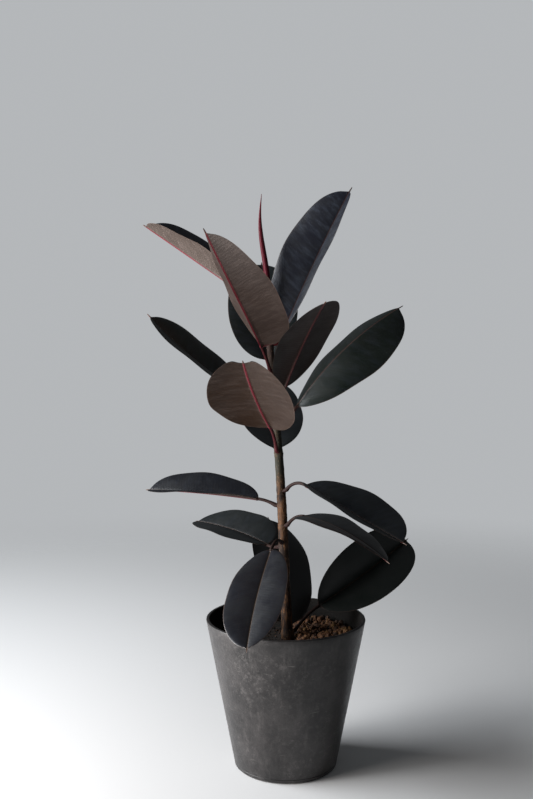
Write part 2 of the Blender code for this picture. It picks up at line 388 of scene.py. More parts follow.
@dataclass(frozen=True)
class SoilFinish:
    """Dark peaty potting mix with paler fibres."""

    dark: Colour = (0.005, 0.004, 0.003)
    light: Colour = (0.032, 0.018, 0.011)
    fibre: Colour = (0.075, 0.05, 0.03)
    roughness: float = 0.95
    clumps: Clouds = Clouds(140.0, 8.0, 0.7)
    clump_ramp: Ramp = (0.38, 0.72)
    clump_relief: Relief = (0.9, 0.004)
    fibres: Clouds = Clouds(420.0, 4.0, 0.6, (1.0, 3.5, 1.0))
    fibre_ramp: Ramp = (0.60, 0.76, 0.0, 0.5)
    fibre_relief: Relief = (0.7, 0.001)

    def make(self) -> bpy.types.Material:
        """Builds the material.

        Returns:
            The soil.
        """
        shader = Shader("potting_soil", self.roughness)
        clumps = shader.noise(self.clumps)
        fibres = shader.noise(self.fibres)
        colour = shader.blend(shader.fade(clumps, *self.clump_ramp), self.dark, self.light)
        colour = shader.blend(shader.fade(fibres, *self.fibre_ramp), colour, self.fibre)
        normal = shader.bump(clumps, self.clump_relief)
        return shader.finish(colour, normal=shader.bump(fibres, self.fibre_relief, normal))


@dataclass(frozen=True)
class GranuleFinish:
    """Baked grains, each with its own shade from dark brown to ochre by the attribute tint."""

    brown: Colour = (0.036, 0.017, 0.009)
    orange: Colour = (0.155, 0.058, 0.016)
    ochre: Colour = (0.255, 0.128, 0.040)
    roughness: float = 0.85
    orange_ramp: Ramp = (0.0, 0.5)
    ochre_ramp: Ramp = (0.60, 1.0)
    pores: Clouds = Clouds(900.0, 5.0, 0.65)
    pore_ramp: Ramp = (0.40, 0.62, 0.7, 0.0)
    pore_relief: Relief = (0.8, 0.0008)

    def make(self) -> bpy.types.Material:
        """Builds the material.

        Returns:
            The baked clay.
        """
        shader = Shader("baked_granules", self.roughness)
        tint = shader.attribute("tint")
        colour = shader.blend(shader.fade(tint, *self.orange_ramp), self.brown, self.orange)
        colour = shader.blend(shader.fade(tint, *self.ochre_ramp), colour, self.ochre)
        pores = shader.noise(self.pores)
        colour = shader.blend(shader.fade(pores, *self.pore_ramp), colour, self.brown)
        return shader.finish(colour, normal=shader.bump(pores, self.pore_relief))


@dataclass(frozen=True)
class BarkFinish:
    """Thin bark, brown and cracked below, grey-green and smooth above, mauve at the tip.

    The attribute ring is 1 on the scars of old and present leaves.
    """

    foot: float
    tip: float
    brown: Colour = (0.012, 0.0060, 0.0038)
    tan: Colour = (0.110, 0.052, 0.023)
    green: Colour = (0.024, 0.024, 0.017)
    mauve: Colour = (0.050, 0.020, 0.020)
    dot: Colour = (0.23, 0.14, 0.075)
    scar: Colour = (0.055, 0.034, 0.024)
    roughness: float = 0.7
    specular: float = 0.2
    streaks: Clouds = Clouds(420.0, 6.0, 0.65, (1.0, 1.0, 0.16))
    streak_relief: Relief = (0.80, 0.0010)
    patches: Clouds = Clouds(90.0, 4.0, 0.6, (1.0, 1.0, 0.5))
    noise_share: float = 0.5
    wood_ramp: Ramp = (0.44, 0.60)
    young_ramp: Ramp = (0.45, 0.80, 0.0, 0.5)
    young_reach: tuple[float, float] = (0.44, 0.50)
    mauve_start: float = 0.70
    dot_scale: float = 330.0
    dot_stretch: Colour = (1.0, 1.0, 0.55)
    dot_ramp: Ramp = (0.10, 0.24, 1.0, 0.0)
    dot_relief: Relief = (0.5, 0.0005)
    dot_share: float = 0.55
    scar_share: float = 0.65
    rough_ramp: Ramp = (0.3, 0.7, 0.55, 0.82)

    def at(self, share: float) -> float:
        """The height at a share of the way from the foot to the tip."""
        return self.foot + share * (self.tip - self.foot)

    def make(self) -> bpy.types.Material:
        """Builds the material.

        Returns:
            The bark.
        """
        shader = Shader("stem_bark", self.roughness, self.specular)
        height = shader.split(shader.place())[2]
        streaks, patches = shader.noise(self.streaks), shader.noise(self.patches)
        parts = [shader.sums("MULTIPLY", part, self.noise_share) for part in (streaks, patches)]
        mottled = shader.sums("ADD", *parts)
        wood = shader.blend(shader.fade(mottled, *self.wood_ramp), self.brown, self.tan)
        young = shader.blend(shader.fade(mottled, *self.young_ramp), self.green, self.tan)
        start, end = (self.at(share) for share in self.young_reach)
        colour = shader.blend(shader.fade(height, start, end), wood, young)
        late = shader.fade(height, self.at(self.mauve_start), self.tip)
        colour = shader.blend(late, colour, self.mauve)
        dots = shader.fade(shader.cells(self.dot_scale, self.dot_stretch), *self.dot_ramp)
        colour = shader.blend(shader.sums("MULTIPLY", dots, self.dot_share), colour, self.dot)
        ring = shader.attribute("ring")
        colour = shader.blend(shader.sums("MULTIPLY", ring, self.scar_share), colour, self.scar)
        normal = shader.bump(dots, self.dot_relief, shader.bump(streaks, self.streak_relief))
        rough = shader.fade(streaks, *self.rough_ramp)
        return shader.finish(colour, roughness=rough, normal=normal)


@dataclass(frozen=True)
class SheathFinish:
    """Waxy crimson skin with fine lengthwise lines, paler towards the point."""

    foot: float
    tip: float
    deep: Colour = (0.100, 0.005, 0.016)
    pale: Colour = (0.130, 0.012, 0.022)
    line: Colour = (0.155, 0.028, 0.035)
    roughness: float = 0.5
    specular: float = 0.3
    lines: Clouds = Clouds(1500.0, 3.0, 0.6, (1.0, 1.0, 0.04))
    line_ramp: Ramp = (0.45, 0.75, 0.0, 0.3)
    line_relief: Relief = (0.3, 0.0003)

    def make(self) -> bpy.types.Material:
        """Builds the material.

        Returns:
            The sheath's skin.
        """
        shader = Shader("bud_sheath", self.roughness, self.specular)
        height = shader.split(shader.place())[2]
        lines = shader.noise(self.lines)
        colour = shader.blend(shader.fade(height, self.foot, self.tip), self.deep, self.pale)
        colour = shader.blend(shader.fade(lines, *self.line_ramp), colour, self.line)
        return shader.finish(colour, normal=shader.bump(lines, self.line_relief))


class LeafSide(Enum):
    """The two faces of a blade, in the order of a leaf's material slots."""

    UPPER = 0
    UNDER = 1


@dataclass(frozen=True)
class LeafFinish:
    """One face of the leaves, from petiole to tip.

    The attribute leaf_place holds how far a point lies beyond the blade's root, how far across
    the blade as a share of its half width, and that distance in metres. The attribute leaf_tip
    rises on the drip tip, which is dry and brown like the blade's rim. The attribute leaf_age
    is 0 on an old leaf and 1 on a new one, and leaf_cast is 0 on a leaf of the warmer shade and
    1 on one of the cooler shade. Pale streaks across the blade, stronger on young leaves, are
    painted sheen.
    """

    side: LeafSide
    old: Colour
    new: Colour
    warm: Colour
    cool: Colour
    vein: Colour
    vein_strength: float
    vein_swell: Relief
    # The colour of the painted sheen streaks.
    painted_sheen: Colour
    rib_old: Colour
    rib_new: Colour
    stalk: Colour
    rib_reach: float
    roughness: tuple[float, float]
    specular: float
    edge: Colour = (0.100, 0.064, 0.050)
    clouds: Clouds = Clouds(26.0, 4.0, 0.6)
    cloud_ramp: Ramp = (0.35, 0.75, 0.0, 0.30)
    cloud_relief: Relief = (0.10, 0.0020)
    vein_gap: float = 0.0042
    vein_slant: float = 0.36
    vein_drifts: Clouds = Clouds(55.0, 2.0)
    vein_drift: float = 0.006
    vein_ramp: Ramp = (0.0, 0.16, 1.0, 0.0)
    swell_ramp: Ramp = (0.0, 0.5)
    inside_ramp: Ramp = (0.86, 0.95, 1.0, 0.0)
    # The streaks and the streak order lay out the painted sheen.
    streaks: Clouds = Clouds(2.0, 3.0, 0.6)
    sheen_streak_order: float = 0.35
    painted_sheen_ramp: Ramp = (0.42, 0.72)
    painted_sheen_share: float = 0.8
    rib_core: float = 0.35
    redness_ramp: Ramp = (0.05, 0.35)
    stalk_end: float = 0.004
    stalk_redness_ramp: Ramp = (0.18, 0.42, 0.0, 0.6)
    stalk_roughness: float = 0.62
    stalk_specular: float = 0.15
    margin_ramp: Ramp = (0.975, 0.995, 0.0, 0.65)
    margin_start: Ramp = (0.0, 0.006)
    dust: Clouds = Clouds(160.0, 5.0, 0.65)
    dust_share: float = 0.4
    dull_ramp: Ramp = (0.45, 0.95)

    def base(self, shader: Shader, clouds: Socket) -> Socket:
        """Colours the skin by the leaf's age and cast.

        Args:
            shader: The material's shader.
            clouds: The cloudy noise that darkens the skin in places.

        Returns:
            The colour without veins, rib, petiole and rim.
        """
        base = shader.blend(shader.attribute("leaf_age"), self.old, self.new)
        cast = shader.blend(shader.attribute("leaf_cast"), self.warm, self.cool)
        base = shader.blend(1.0, base, cast, "MULTIPLY")
        return shader.blend(shader.fade(clouds, *self.cloud_ramp), base, self.vein)

    def vein_order(self, shader: Shader, along: Socket, distance: Socket) -> Socket:
        """Counts the side veins, which slant away from the rib and drift a little.

        Args:
            shader: The material's shader.
            along: The distance beyond the blade's root.
            distance: The distance from the rib.

        Returns:
            The count, whose fraction is a half on each vein.
        """
        drift = shader.sums("MULTIPLY", shader.noise(self.vein_drifts), self.vein_drift)
        slant = shader.sums("ADD", shader.sums("MULTIPLY", distance, self.vein_slant), drift)
        return shader.sums("DIVIDE", shader.sums("SUBTRACT", along, slant), self.vein_gap)

    def make(self) -> bpy.types.Material:
        """Builds the material.

        Returns:
            One face of a leaf.
        """
        rough = sum(self.roughness) / 2
        shader = Shader("leaf_" + self.side.name.lower(), rough, self.specular)
        along, share, across = shader.split(shader.attribute("leaf_place", "Vector"))
        age = shader.attribute("leaf_age")
        clouds = shader.noise(self.clouds)
        colour = self.base(shader, clouds)

        distance = shader.sums("ABSOLUTE", across)
        order = self.vein_order(shader, along, distance)
        fraction = shader.sums("FRACT", order)
        ripple = shader.sums("ABSOLUTE", shader.sums("SUBTRACT", fraction, 0.5))
        edge = shader.sums("ABSOLUTE", share)
        inside = shader.fade(edge, *self.inside_ramp)
        # Painted sheen: pale streaks along the side veins, stronger on young leaves, stand in for
        # a glossy reflection.
        spot = shader.join(shader.sums("MULTIPLY", order, self.sheen_streak_order), share, age)
        painted_sheen = shader.fade(shader.noise(self.streaks, spot), *self.painted_sheen_ramp)
        painted_sheen = shader.sums("MULTIPLY", shader.sums("MULTIPLY", painted_sheen, age), self.painted_sheen_share)
        colour = shader.blend(painted_sheen, colour, self.painted_sheen)
        veins = shader.sums("MULTIPLY", shader.fade(ripple, *self.vein_ramp), inside)
        veins = shader.sums("MULTIPLY", veins, self.vein_strength)
        colour = shader.blend(veins, colour, self.vein)

        rib = shader.fade(distance, self.rib_core * self.rib_reach, self.rib_reach, 1.0, 0.0)
        redness = shader.fade(age, *self.redness_ramp)
        colour = shader.blend(rib, colour, shader.blend(redness, self.rib_old, self.rib_new))
        stalk = shader.fade(along, 0.0, self.stalk_end, 1.0, 0.0)
        redness = shader.fade(age, *self.stalk_redness_ramp)
        colour = shader.blend(stalk, colour, shader.blend(redness, self.stalk, self.rib_new))
        started = shader.fade(along, *self.margin_start)
        margin = shader.sums("MULTIPLY", shader.fade(edge, *self.margin_ramp), started)
        margin = shader.sums("MAXIMUM", margin, shader.attribute("leaf_tip"))
        colour = shader.blend(margin, colour, self.edge)

        dust = shader.sums("MULTIPLY", shader.noise(self.dust), self.dust_share)
        rough = shader.fade(shader.sums("ADD", clouds, dust), *self.dull_ramp, *self.roughness)
        stalk_rough = shader.sums("MULTIPLY", stalk, self.stalk_roughness)
        rough = shader.sums("MAXIMUM", rough, stalk_rough)
        swell = shader.sums("MULTIPLY", shader.fade(ripple, *self.swell_ramp), inside)
        normal = shader.bump(clouds, self.cloud_relief, shader.bump(swell, self.vein_swell))
        specular = shader.fade(along, 0.0, self.stalk_end, self.stalk_specular, self.specular)
        return shader.finish(colour, roughness=rough, normal=normal, specular=specular)


# ------------------------------------------------------------------------------- mesh handling


def in_edit_mode(piece: bpy.types.Object) -> None:
    """Makes a piece the only selected one and opens it in edit mode.

    Args:
        piece: The piece.
    """
    bpy.ops.object.select_all(action="DESELECT")
    bpy.context.view_layer.objects.active = piece
    piece.select_set(True)
    bpy.ops.object.mode_set(mode="EDIT")


def finish_piece(
    piece: bpy.types.Object, node: str, edge_angle: float = 40.0
) -> None:
    """Shades a piece, rides it on the root and lets it stand for its node.

    Args:
        piece: The finished piece.
        node: The solid that it replaces.
        edge_angle: Edges sharper than this stay crisp.
    """
    if bpy.context.mode != "OBJECT":
        bpy.ops.object.mode_set(mode="OBJECT")
    bpy.ops.object.select_all(action="DESELECT")
    bpy.context.view_layer.objects.active = piece
    piece.select_set(True)
    bpy.ops.object.transform_apply(location=True, rotation=True, scale=True)
    bpy.ops.object.shade_smooth_by_angle(angle=radians(edge_angle))
    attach(piece, "root")
    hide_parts(node)
    LOG.info("%s: %d faces", piece.name, len(piece.data.polygons))


def coordinates(mesh: bpy.types.Mesh) -> np.ndarray:
    """Reads a mesh's points.

    Args:
        mesh: The mesh.

    Returns:
        The points as rows of x, y and z.
    """
    points = np.empty(len(mesh.vertices) * 3, np.float32)
    mesh.vertices.foreach_get("co", points)
    return points.reshape(-1, 3).astype(np.float64)


def set_coordinates(mesh: bpy.types.Mesh, points: np.ndarray) -> None:
    """Moves the mesh's points."""
    mesh.vertices.foreach_set("co", points.astype(np.float32).ravel())
    mesh.update()


def eased(share: np.ndarray) -> np.ndarray:
    """A share from 0 to 1 that starts and stops softly."""
    return share * share * (3.0 - 2.0 * share)


def store(mesh: bpy.types.Mesh, name: str, values: np.ndarray) -> None:
    """Keeps one number or one vector for each point as an attribute.

    Args:
        mesh: The mesh.
        name: The attribute's name.
        values: The numbers, or the vectors as rows.
    """
    vector = values.ndim == 2
    kind = "FLOAT_VECTOR" if vector else "FLOAT"
    made = mesh.attributes.new(name, kind, "POINT")
    made.data.foreach_set("vector" if vector else "value", values.astype(np.float32).ravel())


@dataclass(frozen=True)
class Sleeve:
    """A unit tube of rings, modelled once and then fitted to what grows round and long.

    Its length is cut into the first number of steps, and each of those into the next number.
    An edge whose ends differ less in height than the level gap is a ring's, not a lengthwise one.
    """

    sides: int
    steps: tuple[int, ...]
    level_gap: float = 1e-5

    @property
    def rings(self) -> int:
        """How many rings of points the tube has."""
        return prod(self.steps) + 1

    def cut_lengthwise(self, sleeve: bpy.types.Object, steps: int) -> None:
        """Cuts each lengthwise edge into equal steps.

        Args:
            sleeve: The tube.
            steps: How many steps an edge is cut into, 101 at most.
        """
        in_edit_mode(sleeve)
        bpy.ops.mesh.select_mode(type="EDGE")
        bpy.ops.mesh.select_all(action="DESELECT")
        bpy.ops.object.mode_set(mode="OBJECT")
        for edge in sleeve.data.edges:
            first, second = (sleeve.data.vertices[index].co for index in edge.vertices)
            edge.select = abs(first.z - second.z) > self.level_gap
        in_edit_mode(sleeve)
        bpy.ops.mesh.subdivide(number_cuts=steps - 1)
        bpy.ops.object.mode_set(mode="OBJECT")

    def build(self, name: str) -> bpy.types.Object:
        """Adds a capped cylinder and cuts it into rings.

        Args:
            name: The object's name.

        Returns:
            The sleeve, whose upper half of faces has material 0 and lower half material 1.
        """
        bpy.ops.object.select_all(action="DESELECT")
        bpy.ops.mesh.primitive_cylinder_add(
            vertices=self.sides, radius=1.0, depth=1.0, location=(0, 0, 0)
        )
        sleeve = bpy.context.object
        sleeve.name = name
        sleeve.data.name = name
        for steps in self.steps:
            self.cut_lengthwise(sleeve, steps)
        for face in sleeve.data.polygons:
            face.material_index = 0 if face.center.y > 0.0 else 1
        return sleeve

    def places(self, mesh: bpy.types.Mesh) -> tuple[np.ndarray, np.ndarray]:
        """Tells which ring and which side each point of the sleeve belongs to.

        Args:
            mesh: The unit sleeve's mesh.

        Returns:
            The ring numbers, from the foot, and the side numbers, from +X towards +Y.
        """
        points = coordinates(mesh)
        ring = np.rint((0.5 - points[:, 2]) * (self.rings - 1)).astype(int)
        side = np.rint(np.arctan2(points[:, 1], points[:, 0]) / tau * self.sides).astype(int)
        return ring, side % self.sides


# ------------------------------------------------------------------------------------- the pot


@dataclass
class Pot:
    """A tapered round pot with a soft rim and a fine line round its foot."""

    sides: int = 160
    wall: float = 0.0048
    floor: float = 0.007
    rim_round: float = 0.0012
    rim_turns: tuple[float, ...] = (30, 60, 90)
    foot_chamfer: float = 0.0022
    foot_line_height: float = 0.0060
    foot_line_depth: float = 0.0005
    wall_start: float = 0.004
    wall_rings: int = 24
    base_radius: float = 0.070
    edge_angle: float = 35.0

    def __post_init__(self) -> None:
        """Reads the height and the rim's radius from the frame."""
        _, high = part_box("pot")
        self.height = high[2]
        self.top_radius = high[0]

    def radius(self, height: float | np.ndarray) -> float | np.ndarray:
        """The outer radius at a height."""
        return self.base_radius + (self.top_radius - self.base_radius) * height / self.height

    def inner_radius(self, height: float | np.ndarray) -> float | np.ndarray:
        """The inner radius at a height."""
        return self.radius(height) - self.wall

    def rim(self, turn: float) -> tuple[float, float]:
        """How far in and up the rounded rim has gone after a turn in degrees."""
        angle = radians(turn)
        return self.rim_round * (1.0 - cos(angle)), self.rim_round * sin(angle)

    def outline(self) -> list[tuple[float, float]]:
        """Draws the wall up the outside, over the rim and down the inside.

        Returns:
            The radius and the height of each ring.
        """
        line, depth = self.foot_line_height, self.foot_line_depth
        steps = [
            (self.base_radius - self.foot_chamfer, 0.0),
            (self.radius(self.foot_chamfer), self.foot_chamfer),
            (self.radius(line - depth), line - depth),
            (self.radius(line) - depth, line),
            (self.radius(line + depth), line + depth),
        ]
        top = self.height - self.rim_round
        for height in np.linspace(line + self.wall_start, top, self.wall_rings):
            steps.append((self.radius(float(height)), float(height)))
        for turn in self.rim_turns:
            inset, rise = self.rim(turn)
            steps.append((self.radius(top) - inset, top + rise))
        for turn in (*reversed(self.rim_turns), 0):
            inset, rise = self.rim(turn)
            steps.append((self.inner_radius(top) + inset, top + rise))
        steps.append((self.inner_radius(self.floor), self.floor))
        return steps

    def build(self) -> bpy.types.Object:
        """Raises the wall from a disc, ring by ring.

        Returns:
            The dressed pot.
        """
        steps = self.outline()
        bpy.ops.object.select_all(action="DESELECT")
        bpy.ops.mesh.primitive_circle_add(
            vertices=self.sides, radius=steps[0][0], fill_type="NGON", location=(0, 0, 0)
        )
        pot = bpy.context.object
        pot.name = "cast_stone_pot"
        in_edit_mode(pot)
        bpy.ops.mesh.select_all(action="SELECT")
        for (radius, height), (next_radius, next_height) in zip(steps, steps[1:]):
            bpy.ops.mesh.extrude_region_move(
                TRANSFORM_OT_translate={"value": (0.0, 0.0, next_height - height)}
            )
            share = next_radius / radius
            bpy.ops.transform.resize(
                value=(share, share, 1.0), center_override=(0.0, 0.0, next_height)
            )
        bpy.ops.mesh.select_all(action="SELECT")
        bpy.ops.mesh.normals_make_consistent(inside=False)
        bpy.ops.object.mode_set(mode="OBJECT")
        places = coordinates(pot.data)
        middle = self.radius(places[:, 2]) - 0.5 * self.wall
        inner = np.hypot(places[:, 0], places[:, 1]) < middle
        # Marks the inner wall below the rim, where the stone is darkened with painted shade.
        store(pot.data, "shaded_inner_wall", inner & (places[:, 2] < self.height))
        pot.data.materials.append(StoneFinish().make())
        finish_piece(pot, "pot", self.edge_angle)
        return pot


# ------------------------------------------------------------------------ soil and its granules


@dataclass
class Ground:
    """The uneven soil in the pot, with crumbs all over it and a heap of granules on its right.

    Each row of lumps holds a size and a share of the lump height. The lifts are shares of a
    grain's size that it lies above the soil.
    """

    pot: Pot
    seed: int = 7
    sides: int = 144
    ring_gap: float = 0.0024
    skirt: float = 0.022
    wall_gap: float = 0.0002
    lump_reach: float = 0.002
    lump_height: float = 0.0055
    lumps: tuple[tuple[float, float], ...] = ((0.030, 1.0), (0.008, 0.45), (0.003, 0.20))
    lump_layers: int = 3
    crumb_count: int = 620
    crumb_sizes: tuple[float, float] = (0.0015, 0.0045)
    crumb_lift: float = 0.1
    crumb_dark: Colour = (0.012, 0.006, 0.004)
    crumb_light: Colour = (0.075, 0.036, 0.019)
    granule_count: int = 640
    granule_sizes: tuple[float, float] = (0.0045, 0.0094)
    granule_lifts: tuple[float, float] = (-0.2, 0.6)
    granule_gap: float = 0.0015
    stray_count: int = 60
    stray_sizes: tuple[float, float] = (0.0015, 0.0035)
    heap_foot: float = 0.008
    heap_spill: float = 0.004
    near_height: float = 0.002
    edge_gap: float = 0.004
    stem_place: float = 0.003
    stem_clearance: float = 0.0095
    drop_height: float = 0.05
    grain_segments: int = 7
    grain_rings: int = 5
    grain_shape: Colour = (1.0, 0.82, 0.7)
    grain_smoothing: float = 0.3
    grain_roughness: float = 0.16
    grain_edge_angle: float = 60.0
    soil_edge_angle: float = 180.0

    def __post_init__(self) -> None:
        """Reads the soil's level and the heap's reach from the frame and seeds the draws."""
        self.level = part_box("soil")[1][2] - self.lump_reach
        low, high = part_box("granules")
        self.heap_near, self.heap_far = low[0], high[0]
        self.far_height = high[2] - self.level - self.granule_sizes[1]
        self.draw = np.random.default_rng(self.seed)

    def heap(self, x: np.ndarray) -> np.ndarray:
        """Slopes the heap from its foot up to the pot's right wall.

        Args:
            x: Distances to the right of the pot's axis.

        Returns:
            How high the heap has raised the ground at each.
        """
        share = np.clip((x - self.heap_near) / (self.heap_far - self.heap_near), 0.0, 1.0)
        foot = eased(np.clip((x - self.heap_near) / self.heap_foot + 0.5, 0.0, 1.0))
        return foot * (self.near_height + (self.far_height - self.near_height) * share)

    def displace(self, piece: bpy.types.Object, scale: float, strength: float) -> None:
        """Lifts and sinks the soil's top with cloudy lumps, and applies it.

        Args:
            piece: The soil.
            scale: The size of the lumps.
            strength: Their height.
        """
        texture = bpy.data.textures.new("soil_lumps", "CLOUDS")
        texture.noise_scale = scale
        texture.noise_depth = self.lump_layers
        modifier = piece.modifiers.new("Lumps", "DISPLACE")
        modifier.texture = texture
        modifier.direction = "Z"
        modifier.strength = strength
        modifier.mid_level = 0.5
        modifier.vertex_group = "top"
        bpy.context.view_layer.objects.active = piece
        bpy.ops.object.modifier_apply(modifier=modifier.name)

    def disc(self) -> bpy.types.Object:
        """Raises a skirt from a disc and insets its top into rings.

        Returns:
            The level soil.
        """
        radius = self.pot.inner_radius(self.level) - self.wall_gap
        foot = self.level - self.skirt
        foot_radius = self.pot.inner_radius(foot) - self.wall_gap
        bpy.ops.object.select_all(action="DESELECT")
        bpy.ops.mesh.primitive_circle_add(
            vertices=self.sides, radius=foot_radius, fill_type="NGON", location=(0, 0, foot)
        )
        soil = bpy.context.object
        soil.name = "potting_soil"
        in_edit_mode(soil)
        bpy.ops.mesh.select_all(action="SELECT")
        bpy.ops.mesh.extrude_region_move(TRANSFORM_OT_translate={"value": (0.0, 0.0, self.skirt)})
        share = radius / foot_radius
        bpy.ops.transform.resize(
            value=(share, share, 1.0), center_override=(0.0, 0.0, self.level)
        )
        for _ in range(int(radius / self.ring_gap) - 1):
            bpy.ops.mesh.inset(thickness=self.ring_gap)
        bpy.ops.mesh.select_all(action="SELECT")
        bpy.ops.mesh.normals_make_consistent(inside=False)
        bpy.ops.object.mode_set(mode="OBJECT")
        bpy.ops.object.transform_apply(location=True, rotation=True, scale=True)
        return soil

    def build_soil(self) -> bpy.types.Object:
        """Roughens the level soil's top and raises it under the heap.

        Returns:
            The dressed soil.
        """
        soil = self.disc()
        middle = self.level - 0.5 * self.skirt
        top = soil.vertex_groups.new(name="top")
        upper = [point.index for point in soil.data.vertices if point.co.z > middle]
        top.add(upper, 1.0, "REPLACE")
        for scale, share in self.lumps:
            self.displace(soil, scale, share * self.lump_height)
        points = coordinates(soil.data)
        lift = self.heap(points[upper, 0])
        widened = self.pot.inner_radius(self.level + lift) / self.pot.inner_radius(self.level)
        points[upper, :2] *= widened[:, None]
        points[upper, 2] += lift
        set_coordinates(soil.data, points)
        soil.data.materials.append(SoilFinish().make())
        finish_piece(soil, "soil", self.soil_edge_angle)
        return soil

    def grain(self) -> tuple[np.ndarray, list[tuple[int, ...]]]:
        """Models one rough grain of unit size.

        Returns:
            Its points and its faces.
        """
        bpy.ops.object.select_all(action="DESELECT")
        bpy.ops.mesh.primitive_uv_sphere_add(
            segments=self.grain_segments,
            ring_count=self.grain_rings,
            radius=0.5,
            location=(0, 0, 0),
        )
        grain = bpy.context.object
        in_edit_mode(grain)
        bpy.ops.mesh.select_all(action="SELECT")
        bpy.ops.transform.resize(value=self.grain_shape, center_override=(0.0, 0.0, 0.0))
        bpy.ops.mesh.vertices_smooth(factor=self.grain_smoothing)
        bpy.ops.object.mode_set(mode="OBJECT")
        points = coordinates(grain.data)
        faces = [tuple(face.vertices) for face in grain.data.polygons]
        bpy.data.objects.remove(grain)
        return points, faces

    def turned(self) -> np.ndarray:
        """A random turn as a matrix."""
        made, _ = np.linalg.qr(self.draw.normal(size=(3, 3)))
        return made if np.linalg.det(made) > 0 else -made

    def scatter(self, name: str, spots: list[Spot], soil: BVHTree) -> bpy.types.Object:
        """Lays one grain on the soil at each spot and joins them to one piece.

        Args:
            name: The piece's name.
            spots: The x, y, size and height above the soil of each grain.
            soil: The soil's surface.

        Returns:
            The piece, with each grain's shade in the attribute tint.
        """
        shape, faces = self.grain()
        points, all_faces, tints = [], [], []
        down = Vector((0.0, 0.0, -1.0))
        for x, y, size, lift in spots:
            hit = soil.ray_cast(Vector((x, y, self.level + self.drop_height)), down)[0]
            if hit is None:
                continue
            rough = 1.0 + self.grain_roughness * self.draw.normal(size=(len(shape), 1))
            grain = (shape * rough * size) @ self.turned().T + np.array((x, y, hit.z + lift))
            start = len(points) * len(shape)
            points.append(grain)
            all_faces.extend(tuple(index + start for index in face) for face in faces)
            tints.extend([self.draw.random()] * len(shape))
        mesh = bpy.data.meshes.new(name)
        mesh.from_pydata(np.concatenate(points).tolist(), [], all_faces)
        store(mesh, "tint", np.array(tints))
        piece = bpy.data.objects.new(name, mesh)
        bpy.context.scene.collection.objects.link(piece)
        return piece

    def free_spot(self, reach: float) -> tuple[float, float]:
        """Draws a random place on the soil, clear of the stem and of the wall.

        Args:
            reach: How far from the pot's axis it may lie.

        Returns:
            Its x and y.
        """
        while True:
            x, y = self.draw.uniform(-reach, reach, 2)
            clear = (x - self.stem_place) ** 2 + y * y > self.stem_clearance**2
            if x * x + y * y < reach * reach and clear:
                return float(x), float(y)

    def build_crumbs(self, reach: float, surface: BVHTree) -> bpy.types.Object:
        """Strews crumbs over all of the soil.

        Args:
            reach: How far from the pot's axis they may lie.
            surface: The soil's surface.

        Returns:
            The dressed crumbs.
        """
        spots = []
        for _ in range(self.crumb_count):
            x, y = self.free_spot(reach)
            size = float(self.draw.uniform(*self.crumb_sizes))
            spots.append((x, y, size, self.crumb_lift * size))
        crumbs = self.scatter("soil_crumbs", spots, surface)
        crumbs.data.materials.append(SoilFinish(self.crumb_dark, self.crumb_light).make())
        finish_piece(crumbs, "soil", self.grain_edge_angle)
        return crumbs

    def build_granules(self, reach: float, surface: BVHTree) -> bpy.types.Object:
        """Heaps granules on the right, and strews a few small ones over the rest of the soil.

        Args:
            reach: How far from the pot's axis they may lie.
            surface: The soil's surface.

        Returns:
            The dressed granules.
        """
        spots = []
        while len(spots) < self.granule_count:
            x, y = self.free_spot(reach - self.granule_gap)
            if x > self.heap_near + self.heap_spill * self.draw.normal():
                size = float(self.draw.uniform(*self.granule_sizes))
                spots.append((x, y, size, size * float(self.draw.uniform(*self.granule_lifts))))
        for _ in range(self.stray_count):
            x, y = self.free_spot(reach)
            spots.append((x, y, float(self.draw.uniform(*self.stray_sizes)), 0.0))
        granules = self.scatter("clay_granules", spots, surface)
        granules.data.materials.append(GranuleFinish().make())
        finish_piece(granules, "granules", self.grain_edge_angle)
        return granules

    def build(self) -> list[bpy.types.Object]:
        """Builds the soil and what lies on it.

        Returns:
            The soil, its crumbs and its granules.
        """
        soil = self.build_soil()
        surface = BVHTree.FromPolygons(
            [point.co for point in soil.data.vertices],
            [tuple(face.vertices) for face in soil.data.polygons],
        )
        reach = self.pot.inner_radius(self.level) - self.edge_gap
        crumbs = self.build_crumbs(reach, surface)
        return [soil, crumbs, self.build_granules(reach, surface)]


# ------------------------------------------------------------------------------ stem and sheath


